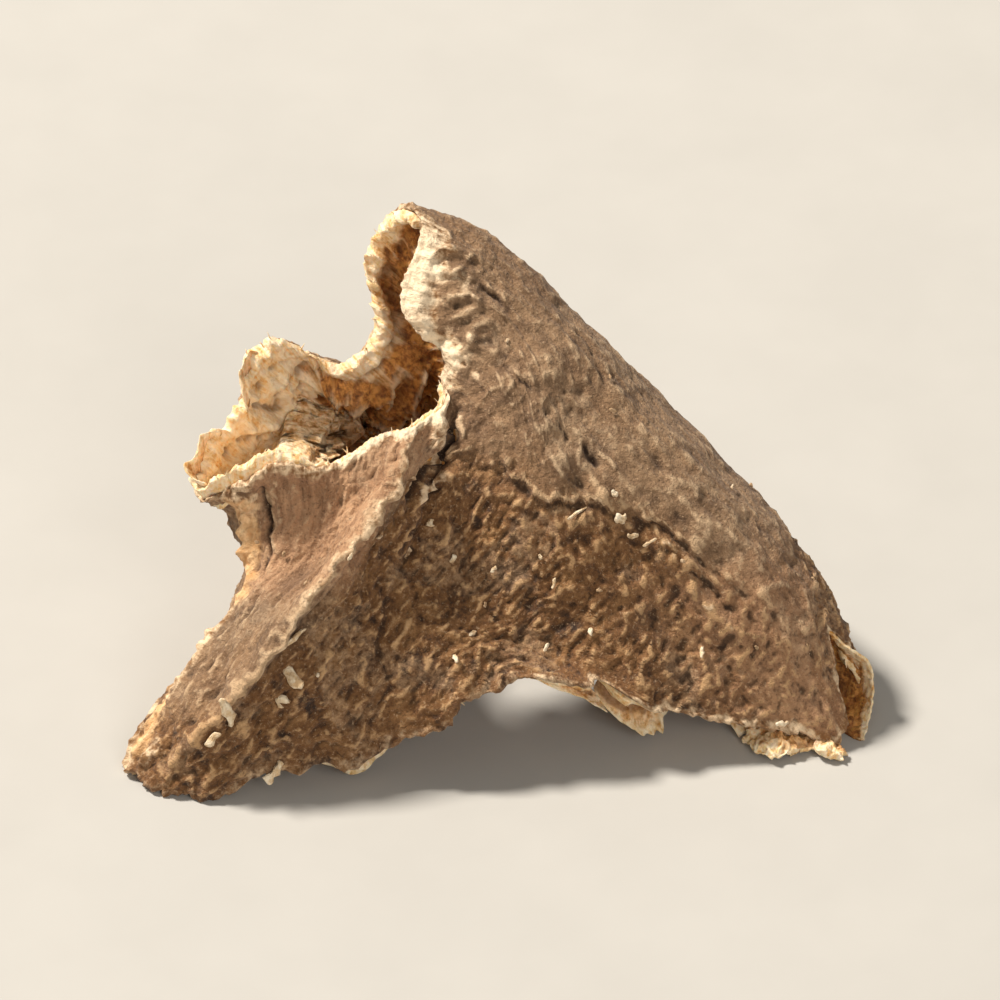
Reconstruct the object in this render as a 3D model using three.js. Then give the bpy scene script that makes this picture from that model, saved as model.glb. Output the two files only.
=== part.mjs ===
// A dry, curled shard of root bark: a short flared tube whose torn mouth slants up to a peak.
// Its near side has a pleat and a sharp ridge that runs down into a leg. Its wide base is arched.
// Frame: millimetres, +Z up, +X along its length, -Y its near side. It rests on its base at z = 0,
// and the origin is under the middle of its box.

import * as THREE from 'three';

// How fine the surface is.
const COLUMNS = 88; // grid columns round the tube
const OUTER_ROWS = 32; // grid rows down the outer face
const INNER_ROWS = 16; // grid rows up the inner face
const RIM_ROWS = 2; // grid rows that round each torn edge

// Sizes in millimetres.
const RIM_BULGE = 0.28; // how far a torn edge stands past its last row
const SINK = 0.25; // how far the feet are worn flat
const FOOT = 0.12; // least height of a face's last row over the floor
const BOX_CENTRE = { x: 0.43, y: 8.49 }; // middle of the box before it is moved to the origin
const FULL_WALL = 0.9; // wall thick enough to carry the whole relief

// Share of a column's thickness at the mouth rim, shoulder, waist, skirt and base rim.
const TAPER = [0.6, 1.0, 1.2, 1.15, 0.7];

// The control net. Each column has its bark thickness, then a point of the outer face at the mouth
// rim, shoulder, waist, skirt and base rim. Columns run from the peak along the near side to the
// left tip, and back along the far side.
const NET = [
  [0.45, [-2.2, 12.3, 16.7], [0.8, 11.3, 15.0], [5.4, 8.6, 11.0], [10.6, 5.6, 6.4], [12.3, 4.6, 3.9]],
  [0.7, [-2.5, 11.2, 15.9], [0.6, 10.3, 14.7], [4.2, 7.2, 11.0], [9.5, 4.3, 5.8], [12.8, 2.3, 0.3]],
  [0.8, [-3.0, 10.0, 14.5], [0.6, 9.2, 13.8], [2.7, 5.9, 10.4], [6.5, 3.9, 5.6], [10.0, 2.0, 1.2]],
  [0.8, [-1.7, 9.0, 13.2], [0.6, 7.8, 12.3], [1.9, 5.2, 9.0], [4.2, 3.4, 5.6], [6.6, 1.8, 2.5]],
  [0.8, [-1.5, 8.5, 12.0], [-0.5, 7.1, 11.0], [-0.4, 5.2, 8.1], [1.0, 3.3, 5.4], [3.1, 1.6, 4.1]],
  [0.8, [-1.8, 7.6, 11.5], [-2.1, 6.3, 10.2], [-2.4, 4.8, 7.7], [-1.9, 2.8, 5.6], [-0.4, 1.2, 3.9]],
  [0.65, [-2.5, 6.9, 11.6], [-3.0, 5.5, 10.3], [-4.1, 3.9, 7.9], [-4.6, 1.9, 5.3], [-3.8, 0.5, 1.8]],
  [0.65, [-3.3, 6.5, 11.6], [-3.5, 4.9, 10.3], [-5.0, 3.1, 8.3], [-6.9, 1.2, 5.2], [-7.8, -0.2, 0.9]],
  [0.7, [-4.4, 6.2, 11.2], [-4.6, 4.9, 9.6], [-6.1, 3.2, 7.7], [-8.6, 0.9, 4.9], [-11.3, -0.2, 0.45]],
  [0.75, [-5.9, 5.8, 10.7], [-6.0, 4.9, 8.8], [-7.1, 3.8, 7.0], [-9.8, 2.0, 4.5], [-12.9, 1.1, 0.6]],
  [0.7, [-7.6, 6.0, 10.8], [-7.5, 5.3, 8.8], [-8.3, 4.5, 6.3], [-10.2, 3.6, 3.8], [-12.4, 2.8, 1.3]],
  [0.8, [-9.0, 6.2, 9.9], [-8.7, 6.0, 7.9], [-8.7, 5.9, 5.4], [-9.6, 6.0, 3.0], [-10.6, 5.8, 1.0]],
  [0.8, [-10.1, 6.8, 8.8], [-9.2, 7.3, 6.9], [-8.5, 8.0, 4.6], [-8.8, 8.7, 2.6], [-9.3, 9.0, 1.2]],
  [0.9, [-10.2, 8.0, 9.8], [-9.4, 9.2, 7.0], [-8.2, 10.4, 4.2], [-8.2, 11.4, 2.2], [-8.3, 12.0, 0.7]],
  [1.0, [-8.9, 9.2, 10.4], [-8.3, 11.0, 7.2], [-7.4, 12.6, 4.2], [-6.9, 13.7, 2.0], [-6.8, 14.6, 0.3]],
  [1.0, [-8.5, 10.3, 12.1], [-7.1, 12.4, 8.4], [-5.8, 14.2, 4.8], [-5.0, 15.4, 2.2], [-4.8, 16.4, 0.2]],
  [1.0, [-7.3, 11.2, 12.2], [-5.5, 13.5, 8.4], [-3.8, 15.2, 5.0], [-2.8, 16.4, 2.4], [-2.4, 17.3, 0.8]],
  [1.0, [-5.3, 11.8, 10.6], [-3.4, 13.6, 8.2], [-1.6, 15.0, 5.4], [-0.2, 15.9, 3.2], [0.4, 16.6, 1.8]],
  [1.0, [-4.1, 12.5, 11.8], [-2.0, 14.0, 9.2], [0.4, 15.0, 6.2], [2.2, 15.8, 3.6], [3.4, 16.6, 1.4]],
  [0.85, [-4.4, 13.3, 13.9], [-1.5, 14.5, 11.0], [2.2, 14.6, 7.4], [5.2, 14.6, 3.8], [6.9, 14.6, 0.4]],
  [0.7, [-3.7, 13.6, 15.6], [-0.8, 14.0, 13.4], [3.8, 13.2, 9.2], [8.4, 11.5, 4.6], [10.8, 10.2, 1.0]],
  [0.45, [-2.9, 13.2, 16.6], [0.5, 13.0, 15.0], [5.3, 11.0, 10.6], [11.1, 7.8, 5.5], [13.8, 5.4, 0.6]],
];

// Creases and ridges on the outer face: rise (negative sinks), half width, and a path of
// [net column, share of the way from mouth to base].
const SEAMS = [
  { rise: -0.4, width: 0.32, path: [[4.3, 0.08], [4.6, 0.22], [4.9, 0.4], [5.3, 0.55]] },
  { rise: 0.3, width: 0.38, path: [[6.3, 0.02], [6.8, 0.25], [7.3, 0.5], [7.8, 0.75], [8.2, 0.97]] },
  { rise: -0.15, width: 0.35, path: [[10.4, 0.05], [10.5, 0.25], [10.1, 0.5]] },
  { rise: -0.2, width: 0.4, path: [[3.0, 0.12], [2.6, 0.24]] },
  { rise: -0.15, width: 0.4, path: [[1.4, 0.4], [2.0, 0.55], [1.7, 0.75]] },
  { rise: -0.35, width: 0.35, path: [[17.0, 0.04], [17.3, 0.3], [16.8, 0.6], [17.1, 0.96]] },
  { rise: 0.3, width: 0.6, path: [[15.0, 0.05], [15.4, 0.4], [15.0, 0.8]] },
  { rise: -0.25, width: 0.4, path: [[13.2, 0.2], [13.6, 0.5], [13.2, 0.85]] },
  { rise: 0.25, width: 0.55, path: [[19.0, 0.08], [19.4, 0.45], [18.7, 0.85]] },
  { rise: -0.3, width: 0.35, path: [[20.2, 0.25], [20.0, 0.6], [20.4, 0.9]] },
];

// Relief of the faces: height, size of a lump, and which random field.
const OUTER_RELIEF = [[0.42, 4.2, 1], [0.34, 2.1, 2], [0.16, 1.15, 3]];
const INNER_RELIEF = [[0.14, 2.4, 4], [0.08, 1.2, 5]];
// How far the torn edges come and go.
const MOUTH_TEAR = [[0.4, 1.5, 6]];
const BASE_TEAR = [[0.7, 1.9, 7], [0.3, 0.9, 8]];
const TEAR_REACH = 0.22; // share of the height over which a tear is drawn out

const vec = (point) => new THREE.Vector3(...point);
const clamp = THREE.MathUtils.clamp;
const smooth = (value) => THREE.MathUtils.smoothstep(value, 0, 1);

/** A random whole number below 2^32 for one corner of the noise lattice. */
function hash(x, y, z, seed) {
  let h = Math.imul(x, 374761393) + Math.imul(y, 668265263) + Math.imul(z, 1274126177);
  h = (h + Math.imul(seed, 362437)) | 0;
  h = Math.imul(h ^ (h >>> 15), 739981811);
  h = Math.imul(h ^ (h >>> 13), 1597334677);
  return (h ^ (h >>> 16)) >>> 0;
}

/** Gradient noise, about -0.8 to 0.8, that changes over a distance of one. */
function noise(x, y, z, seed) {
  const [ix, iy, iz] = [Math.floor(x), Math.floor(y), Math.floor(z)];
  const [fx, fy, fz] = [x - ix, y - iy, z - iz];
  const ease = (f) => f * f * f * (f * (f * 6 - 15) + 10);
  const [ux, uy, uz] = [ease(fx), ease(fy), ease(fz)];
  let sum = 0;
  for (let corner = 0; corner < 8; corner += 1) {
    const [cx, cy, cz] = [corner & 1, (corner >> 1) & 1, (corner >> 2) & 1];
    const h = hash(ix + cx, iy + cy, iz + cz, seed);
    const gx = (h & 1023) / 511.5 - 1;
    const gy = ((h >>> 10) & 1023) / 511.5 - 1;
    const gz = ((h >>> 20) & 1023) / 511.5 - 1;
    const weight = (cx ? ux : 1 - ux) * (cy ? uy : 1 - uy) * (cz ? uz : 1 - uz);
    sum += weight * (gx * (fx - cx) + gy * (fy - cy) + gz * (fz - cz));
  }
  return sum;
}

/** The sum of several noise layers at a point. */
function layers(list, p) {
  return list.reduce((sum, [height, size, seed]) => sum + height * noise(p.x / size, p.y / size, p.z / size, seed), 0);
}

/** Softened outward normals of the net, by ring and column. */
function netNormals(rings) {
  const count = NET.length;
  const rows = rings.map((ring, r) => ring.map((_, k) => {
    const across = ring[(k + 1) % count].clone().sub(ring[(k + count - 1) % count]);
    const down = rings[Math.min(r + 1, rings.length - 1)][k].clone().sub(rings[Math.max(r - 1, 0)][k]);
    return across.cross(down).normalize();
  }));
  const soften = (row) => row.map((n, k) => n.clone().multiplyScalar(2)
    .add(row[(k + 1) % count]).add(row[(k + count - 1) % count]).normalize());
  return rows.map((row) => soften(soften(row)));
}

/** One curve from mouth to base for each grid column, through the given rings. */
function columnCurves(rings) {
  const loops = rings.map((ring) => new THREE.CatmullRomCurve3(ring, true, 'catmullrom', 0.5));
  return Array.from({ length: COLUMNS }, (_, c) => new THREE.CatmullRomCurve3(
    loops.map((loop) => loop.getPoint(c / COLUMNS)), false, 'catmullrom', 0.5));
}

/** A point of the outer sheet at a net column and a share of the height. */
function sheetPoint(rings, column, share) {
  const loops = rings.map((ring) => new THREE.CatmullRomCurve3(ring, true, 'catmullrom', 0.5));
  const stations = loops.map((loop) => loop.getPoint(column / NET.length));
  return new THREE.CatmullRomCurve3(stations, false, 'catmullrom', 0.5).getPoint(share);
}

/** How much the seams raise the outer face at a point. */
function seamRise(seams, p) {
  const near = new THREE.Vector3();
  return seams.reduce((sum, seam) => {
    const distance = Math.min(...seam.lines.map((line) => line.closestPointToPoint(p, true, near).distanceTo(p)));
    return sum + seam.rise * Math.exp(-((distance / seam.width) ** 2));
  }, 0);
}

/** The outer and inner faces as grids of points, torn at both edges and with their relief. */
function bothFaces() {
  const outerRings = TAPER.map((_, r) => NET.map((column) => vec(column[r + 1])));
  const normals = netNormals(outerRings);
  const innerRings = outerRings.map((ring, r) => ring.map((p, k) => (
    p.clone().addScaledVector(normals[r][k], -TAPER[r] * NET[k][0]))));
  const seams = SEAMS.map(({ rise, width, path }) => {
    const points = path.map(([column, share]) => sheetPoint(outerRings, column, share));
    return { rise, width, lines: points.slice(1).map((p, i) => new THREE.Line3(points[i], p)) };
  });
  const [outerCurves, innerCurves] = [columnCurves(outerRings), columnCurves(innerRings)];

  const face = (curves, rows, inner) => {
    const grid = curves.map((curve) => Array.from({ length: rows }, (_, r) => curve.getPoint(r / (rows - 1))));
    const torn = grid.map((points, c) => points.map((p, r) => {
      const share = r / (rows - 1);
      const across = grid[(c + 1) % COLUMNS][r].clone().sub(grid[(c + COLUMNS - 1) % COLUMNS][r]);
      const down = points[Math.min(r + 1, rows - 1)].clone().sub(points[Math.max(r - 1, 0)]);
      const normal = across.cross(down).normalize();
      const wall = outerCurves[c].getPoint(share).distanceTo(innerCurves[c].getPoint(share));
      const carry = clamp(wall / FULL_WALL, 0.25, 1);
      const height = inner ? layers(INNER_RELIEF, p) : layers(OUTER_RELIEF, p) + seamRise(seams, p);
      const moved = p.clone().addScaledVector(normal, height * carry);
      const outer = outerCurves[c];
      const mouthEdge = outer.getPoint(0).sub(outer.getPoint(0.02)).normalize();
      const baseEdge = outer.getPoint(1).sub(outer.getPoint(0.98)).normalize();
      moved.addScaledVector(mouthEdge, layers(MOUTH_TEAR, outer.getPoint(0)) * smooth(1 - share / TEAR_REACH));
      moved.addScaledVector(baseEdge, layers(BASE_TEAR, outer.getPoint(1)) * smooth(1 - (1 - share) / TEAR_REACH));
      return moved;
    }));
    return torn.map((points) => {
      const lift = Math.max(0, SINK + FOOT - points.at(-1).z);
      return points.map((p, r) => p.setZ(p.z + lift * smooth(1 - (1 - r / (rows - 1)) / TEAR_REACH)));
    });
  };
  return [face(outerCurves, OUTER_ROWS, false), face(innerCurves, INNER_ROWS, true)];
}

/** Points that round an edge from one face's last point to the other's. */
function rim(from, to, beyond) {
  return Array.from({ length: RIM_ROWS }, (_, i) => {
    const angle = (Math.PI * (i + 1)) / (RIM_ROWS + 1);
    const point = from.clone().lerp(to, (1 - Math.cos(angle)) / 2);
    return point.addScaledVector(beyond, RIM_BULGE * Math.sin(angle));
  });
}

/** The closed wall: down the outer face, round the base rim, up the inner face, round the mouth rim. */
function barkGeometry() {
  const [outer, inner] = bothFaces();
  const loops = outer.map((down, c) => {
    const up = inner[c].slice().reverse();
    const baseEdge = down.at(-1).clone().sub(down.at(-2)).normalize();
    const mouthEdge = down[0].clone().sub(down[1]).normalize();
    return [...down, ...rim(down.at(-1), up[0], baseEdge), ...up, ...rim(up.at(-1), down[0], mouthEdge)];
  });
  const around = loops[0].length;
  const positions = loops.flatMap((loop) => loop.flatMap((p) => (
    [p.x - BOX_CENTRE.x, p.y - BOX_CENTRE.y, Math.max(p.z - SINK, 0)])));
  const index = [];
  for (let c = 0; c < COLUMNS; c += 1) {
    for (let r = 0; r < around; r += 1) {
      const a = c * around + r;
      const b = ((c + 1) % COLUMNS) * around + r;
      const next = (r + 1) % around;
      const [d, e] = [c * around + next, ((c + 1) % COLUMNS) * around + next];
      index.push(a, b, e, a, e, d);
    }
  }
  const geometry = new THREE.BufferGeometry();
  geometry.setAttribute('position', new THREE.Float32BufferAttribute(positions, 3));
  geometry.setIndex(index);
  geometry.computeVertexNormals();
  return geometry;
}

const bark = new THREE.MeshStandardMaterial({ color: 0x8c7257, roughness: 0.93, metalness: 0 });
const shard = new THREE.Mesh(barkGeometry(), bark);
shard.name = 'bark_shard';

const part = new THREE.Group();
part.name = 'danshen_root_bark';
part.add(shard);

export default part;
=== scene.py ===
"""Looks of a dry, curled shard of root bark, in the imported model's frame.

The shard is two torn layers, grown on one control net: grey-brown cork outside and golden fibrous
bast inside. Torn strips, fine hairs, a curled end, a frayed flap and a web of pith belong to the bast,
and pale chips cling to the cork. Shapes are worked out in the net's own millimetres, and stored in
metres in the frame of the solid.
"""

from __future__ import annotations

import logging
import math
from dataclasses import dataclass, field
from enum import Enum

import bpy
import numpy as np
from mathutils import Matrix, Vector

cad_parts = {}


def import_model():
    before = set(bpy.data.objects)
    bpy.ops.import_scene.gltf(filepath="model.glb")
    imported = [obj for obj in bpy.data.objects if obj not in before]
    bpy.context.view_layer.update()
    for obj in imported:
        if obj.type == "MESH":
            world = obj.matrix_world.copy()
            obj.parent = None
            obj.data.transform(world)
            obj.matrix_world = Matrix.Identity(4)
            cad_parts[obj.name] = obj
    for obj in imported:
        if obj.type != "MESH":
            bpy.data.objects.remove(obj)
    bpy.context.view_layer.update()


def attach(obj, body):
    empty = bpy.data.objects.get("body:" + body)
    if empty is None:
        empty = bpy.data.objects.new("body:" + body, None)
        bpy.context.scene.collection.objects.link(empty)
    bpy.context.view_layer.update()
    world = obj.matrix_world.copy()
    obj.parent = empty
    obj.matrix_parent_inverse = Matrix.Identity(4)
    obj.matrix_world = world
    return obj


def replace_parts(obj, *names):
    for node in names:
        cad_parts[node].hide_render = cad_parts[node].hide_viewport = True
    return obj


log = logging.getLogger("root_bark")

Array = np.ndarray
Finish = bpy.types.Material
Piece = bpy.types.Object

MM = 0.001
NODE = "bark_shard"
BODY = "root"

# The part's origin, under the middle of its box, in the net's own millimetres.
ORIGIN = np.array([0.43, 8.49, 0.25])

# One row a net column: bark thickness, then x, y, z at mouth rim, shoulder, waist, skirt and base rim.
NET = np.array([
    [0.45, -2.2, 12.3, 16.7, 0.8, 11.3, 15.0, 5.4, 8.6, 11.0, 10.6, 5.6, 6.4, 12.3, 4.6, 3.9],
    [0.7, -2.5, 11.2, 15.9, 0.6, 10.3, 14.7, 4.2, 7.2, 11.0, 9.5, 4.3, 5.8, 12.8, 2.3, 0.3],
    [0.8, -3.0, 10.0, 14.5, 0.6, 9.2, 13.8, 2.7, 5.9, 10.4, 6.5, 3.9, 5.6, 10.0, 2.0, 1.2],
    [0.8, -1.7, 9.0, 13.2, 0.6, 7.8, 12.3, 1.9, 5.2, 9.0, 4.2, 3.4, 5.6, 6.6, 1.8, 2.5],
    [0.8, -1.5, 8.5, 12.0, -0.5, 7.1, 11.0, -0.4, 5.2, 8.1, 1.0, 3.3, 5.4, 3.1, 1.6, 4.1],
    [0.8, -1.8, 7.6, 11.5, -2.1, 6.3, 10.2, -2.4, 4.8, 7.7, -1.9, 2.8, 5.6, -0.4, 1.2, 3.9],
    [0.65, -2.5, 6.9, 11.6, -3.0, 5.5, 10.3, -4.1, 3.9, 7.9, -4.6, 1.9, 5.3, -3.8, 0.5, 1.8],
    [0.65, -3.3, 6.5, 11.6, -3.5, 4.9, 10.3, -5.0, 3.1, 8.3, -6.9, 1.2, 5.2, -7.8, -0.2, 0.9],
    [0.7, -4.4, 6.2, 11.2, -4.6, 4.9, 9.6, -6.1, 3.2, 7.7, -8.6, 0.9, 4.9, -11.3, -0.2, 0.45],
    [0.75, -5.9, 5.8, 10.7, -6.0, 4.9, 8.8, -7.1, 3.8, 7.0, -9.8, 2.0, 4.5, -12.9, 1.1, 0.6],
    [0.7, -7.6, 6.0, 10.8, -7.5, 5.3, 8.8, -8.3, 4.5, 6.3, -10.2, 3.6, 3.8, -12.4, 2.8, 1.3],
    [0.8, -9.0, 6.2, 9.9, -8.7, 6.0, 7.9, -8.7, 5.9, 5.4, -9.6, 6.0, 3.0, -10.6, 5.8, 1.0],
    [0.8, -10.1, 6.8, 8.8, -9.2, 7.3, 6.9, -8.5, 8.0, 4.6, -8.8, 8.7, 2.6, -9.3, 9.0, 1.2],
    [0.9, -10.2, 8.0, 9.8, -9.4, 9.2, 7.0, -8.2, 10.4, 4.2, -8.2, 11.4, 2.2, -8.3, 12.0, 0.7],
    [1.0, -8.9, 9.2, 10.4, -8.3, 11.0, 7.2, -7.4, 12.6, 4.2, -6.9, 13.7, 2.0, -6.8, 14.6, 0.3],
    [1.0, -8.5, 10.3, 12.1, -7.1, 12.4, 8.4, -5.8, 14.2, 4.8, -5.0, 15.4, 2.2, -4.8, 16.4, 0.2],
    [1.0, -7.3, 11.2, 12.2, -5.5, 13.5, 8.4, -3.8, 15.2, 5.0, -2.8, 16.4, 2.4, -2.4, 17.3, 0.8],
    [1.0, -5.3, 11.8, 10.6, -3.4, 13.6, 8.2, -1.6, 15.0, 5.4, -0.2, 15.9, 3.2, 0.4, 16.6, 1.8],
    [1.0, -4.1, 12.5, 11.8, -2.0, 14.0, 9.2, 0.4, 15.0, 6.2, 2.2, 15.8, 3.6, 3.4, 16.6, 1.4],
    [0.85, -4.4, 13.3, 13.9, -1.5, 14.5, 11.0, 2.2, 14.6, 7.4, 5.2, 14.6, 3.8, 6.9, 14.6, 0.4],
    [0.7, -3.7, 13.6, 15.6, -0.8, 14.0, 13.4, 3.8, 13.2, 9.2, 8.4, 11.5, 4.6, 10.8, 10.2, 1.0],
    [0.45, -2.9, 13.2, 16.6, 0.5, 13.0, 15.0, 5.3, 11.0, 10.6, 11.1, 7.8, 5.5, 13.8, 5.4, 0.6],
])
TAPER = np.array([0.6, 1.0, 1.2, 1.15, 0.7])
COLUMNS = len(NET)


@dataclass(frozen=True)
class Seam:
    """A crease (negative rise) or ridge on the outer face, along points of (net column, height share)."""

    rise: float
    width: float
    path: tuple[tuple[float, float], ...]


FOLDS = (
    Seam(-0.4, 0.32, ((4.3, 0.08), (4.6, 0.22), (4.9, 0.4), (5.3, 0.55))),
    Seam(0.3, 0.38, ((6.3, 0.02), (6.8, 0.25), (7.3, 0.5), (7.8, 0.75), (8.2, 0.97))),
    Seam(-0.15, 0.35, ((10.4, 0.05), (10.5, 0.25), (10.1, 0.5))),
    Seam(-0.2, 0.4, ((3.0, 0.12), (2.6, 0.24))),
    Seam(-0.15, 0.4, ((1.4, 0.4), (2.0, 0.55), (1.7, 0.75))),
    Seam(-0.35, 0.35, ((17.0, 0.04), (17.3, 0.3), (16.8, 0.6), (17.1, 0.96))),
    Seam(0.3, 0.6, ((15.0, 0.05), (15.4, 0.4), (15.0, 0.8))),
    Seam(-0.25, 0.4, ((13.2, 0.2), (13.6, 0.5), (13.2, 0.85))),
    Seam(0.25, 0.55, ((19.0, 0.08), (19.4, 0.45), (18.7, 0.85))),
    Seam(-0.3, 0.35, ((20.2, 0.25), (20.0, 0.6), (20.4, 0.9))),
)


class Noise:
    """Seeded random fields over points in millimetres, worked out as whole arrays."""

    AXIS_FACTORS = np.array([374761393, 668265263, 1274126177], np.uint32)
    SEED_FACTOR = 362437
    SCRAMBLE = ((15, 739981811), (13, 1597334677))
    LAST_SHIFT = 16
    TEN_BITS = 1023

    @staticmethod
    def _hash(cell: Array, seed: int) -> Array:
        """Mix three whole numbers a row into one random 32-bit number.

        Args:
            cell: whole-number lattice corners, (n, 3).
            seed: which random field.

        Returns:
            One uint32 a row.
        """
        h = (cell.astype(np.int64).astype(np.uint32) * Noise.AXIS_FACTORS).sum(1, dtype=np.uint32)
        h = h + np.uint32((seed * Noise.SEED_FACTOR) % 2**32)
        for shift, factor in Noise.SCRAMBLE:
            h = (h ^ (h >> np.uint32(shift))) * np.uint32(factor)
        return h ^ (h >> np.uint32(Noise.LAST_SHIFT))

    @staticmethod
    def _three(h: Array) -> Array:
        """Three numbers from 0 to 1 out of each random number, ten bits apiece."""
        parts = [(h >> np.uint32(bits)) & Noise.TEN_BITS for bits in (0, 10, 20)]
        return np.stack(parts, -1) / Noise.TEN_BITS

    @staticmethod
    def gradient(points: Array, size: float, seed: int) -> Array:
        """Gradient noise: corner slopes blended by the quintic ease of the place in the cell.

        Args:
            points: (..., 3) in mm.
            size: distance over which the field changes, in mm.
            seed: which random field.

        Returns:
            Values of about -0.8 to 0.8, in the points' own shape.
        """
        p = points.reshape(-1, 3) / size
        base = np.floor(p)
        f = p - base
        ease = f * f * f * (f * (f * 6 - 15) + 10)
        total = np.zeros(len(p))
        for corner in np.ndindex(2, 2, 2):
            slope = 2 * Noise._three(Noise._hash(base + corner, seed)) - 1
            weight = np.prod(np.where(corner, ease, 1 - ease), axis=1)
            total += weight * (slope * (f - corner)).sum(1)
        return total.reshape(points.shape[:-1])

    @staticmethod
    def layers(points: Array, plan: tuple[tuple[float, float, int], ...]) -> Array:
        """Sum of (height, size, seed) gradient fields.

        Args:
            points: (..., 3) in mm.
            plan: height, size and seed of each field.

        Returns:
            The summed heights in mm.
        """
        return sum(height * Noise.gradient(points, size, seed) for height, size, seed in plan)

    @staticmethod
    def sway(points: Array, size: float, seed: int) -> Array:
        """Three gradient fields as one random push of each point."""
        return np.stack([Noise.gradient(points, size, seed + axis) for axis in range(3)], -1)

    @staticmethod
    def worms(points: Array, size: float, seed: int) -> Array:
        """Winding ridges: 1 on the zero lines of a field whose points are pushed about first, 0 beside them.

        Args:
            points: (..., 3) in mm.
            size: spacing of the ridges in mm.
            seed: which random field.

        Returns:
            Values of 0 to 1.
        """
        pushed = points + Noise.sway(points, 1.7 * size, seed + 40) * 0.9 * size
        return np.clip(1 - 3.2 * np.abs(Noise.gradient(pushed, size, seed)), 0, 1)

    @staticmethod
    def crumple(points: Array, size: float, seed: int) -> Array:
        """Sharp crests between rounded hollows: (1 - |noise|)^2 over three sizes, each half as big and high.

        Args:
            points: (..., 3) in mm.
            size: spacing of the largest crests in mm.
            seed: which random field.

        Returns:
            Values of about -0.5 to 0.5.
        """
        total = np.zeros(points.shape[:-1])
        for octave in range(3):
            noise = np.abs(Noise.gradient(points, size * 0.5**octave, seed + octave))
            total += 0.5**octave * ((1 - np.minimum(1, 2.2 * noise)) ** 2 - 0.45)
        return total

    @staticmethod
    def cells(points: Array, size: float, seed: int) -> tuple[Array, Array, Array]:
        """Distances to the nearest two of one random spot a cell, and the nearest one's own random number.

        Args:
            points: (..., 3) in mm.
            size: cell size in mm.
            seed: which random field.

        Returns:
            The two distances in cell sizes, and the number from 0 to 1.
        """
        shape = points.shape[:-1]
        p = points.reshape(-1, 3) / size
        base = np.floor(p)
        first, second, tag = np.full(len(p), np.inf), np.full(len(p), np.inf), np.zeros(len(p))
        for step in np.ndindex(3, 3, 3):
            cell = base + np.array(step) - 1
            d = np.linalg.norm(cell + Noise._three(Noise._hash(cell, seed)) - p, axis=1)
            near = d < first
            second = np.where(near, first, np.minimum(second, d))
            first = np.where(near, d, first)
            tag = np.where(near, (Noise._hash(cell, seed + 7) & Noise.TEN_BITS) / Noise.TEN_BITS, tag)
        return first.reshape(shape), second.reshape(shape), tag.reshape(shape)


def smooth(x: Array) -> Array:
    """Ease from 0 to 1: 3x^2 - 2x^3 on x held to 0..1."""
    x = np.clip(x, 0, 1)
    return x * x * (3 - 2 * x)


def unit(v: Array) -> Array:
    """Vectors scaled to length one."""
    return v / np.maximum(np.linalg.norm(v, axis=-1, keepdims=True), 1e-12)


def bell(x: Array, centre: float, width: float) -> Array:
    """1 at the centre, falling off as exp(-((x - centre) / width)^2)."""
    return np.exp(-(((x - centre) / width) ** 2))


def hump(k: Array, centre: float, width: float) -> Array:
    """1 at a net column, falling off as a bell on both sides, the short way round the shard."""
    return bell((k - centre + COLUMNS / 2) % COLUMNS, COLUMNS / 2, width)


def humps(k: Array, table: tuple[tuple[float, float, float], ...]) -> Array:
    """Sum of the humps of (net column, width in columns, height) rows."""
    return sum(height * hump(k, centre, width) for centre, width, height in table)


def round_table(k: Array, table: tuple[tuple[float, ...], ...], column: int = 1) -> Array:
    """Values between the rows of a table that starts with the net column, closing on itself."""
    rows = np.array(table)
    return np.interp(k, rows[:, 0], rows[:, column], period=COLUMNS)


def curve_between(p: list[Array], w: Array) -> Array:
    """Uniform Catmull-Rom curve between the middle two of four points.

    Args:
        p: the four points.
        w: share of the way from the second to the third.

    Returns:
        Points on the curve.
    """
    w = w[..., None]
    a, b, c, d = p
    return b + 0.5 * w * ((c - a) + w * ((2 * a - 5 * b + 4 * c - d) + w * (3 * (b - c) + d - a)))


def grid_normals(points: Array) -> Array:
    """Outward normals of a (columns, rows, 3) grid that closes on itself sideways.

    The normal is the cross product of the step to the next column and the step to the next row.

    Args:
        points: the grid.

    Returns:
        Unit normals in the same shape.
    """
    across = np.roll(points, -1, 0) - np.roll(points, 1, 0)
    down = np.empty_like(points)
    down[:, 1:-1] = points[:, 2:] - points[:, :-2]
    down[:, 0], down[:, -1] = points[:, 1] - points[:, 0], points[:, -1] - points[:, -2]
    return unit(np.cross(across, down))


def crest_mask(points: Array, normals: Array) -> Array:
    """How far each point stands above its neighbours two and five cells off, over the usual amount.

    Args:
        points: (columns, rows, 3), closed sideways.
        normals: in the same shape.

    Returns:
        About -2 in hollows to 2 on crests.
    """
    total = np.zeros(points.shape[:-1])
    for reach in (2, 5):
        padded = np.pad(points, ((0, 0), (reach, reach), (0, 0)), "edge")
        around = np.roll(points, reach, 0) + np.roll(points, -reach, 0)
        around += padded[:, 2 * reach:] + padded[:, :-2 * reach]
        stand = ((points - around / 4) * normals).sum(-1)
        stand[:, :reach], stand[:, -reach:] = 0, 0
        total += 0.5 * stand / (stand.std() + 1e-9)
    return np.clip(total, -3, 3)


class Edge(Enum):
    """The shard's torn ends, by the height share of each."""

    MOUTH = 0.0
    BASE = 1.0


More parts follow.
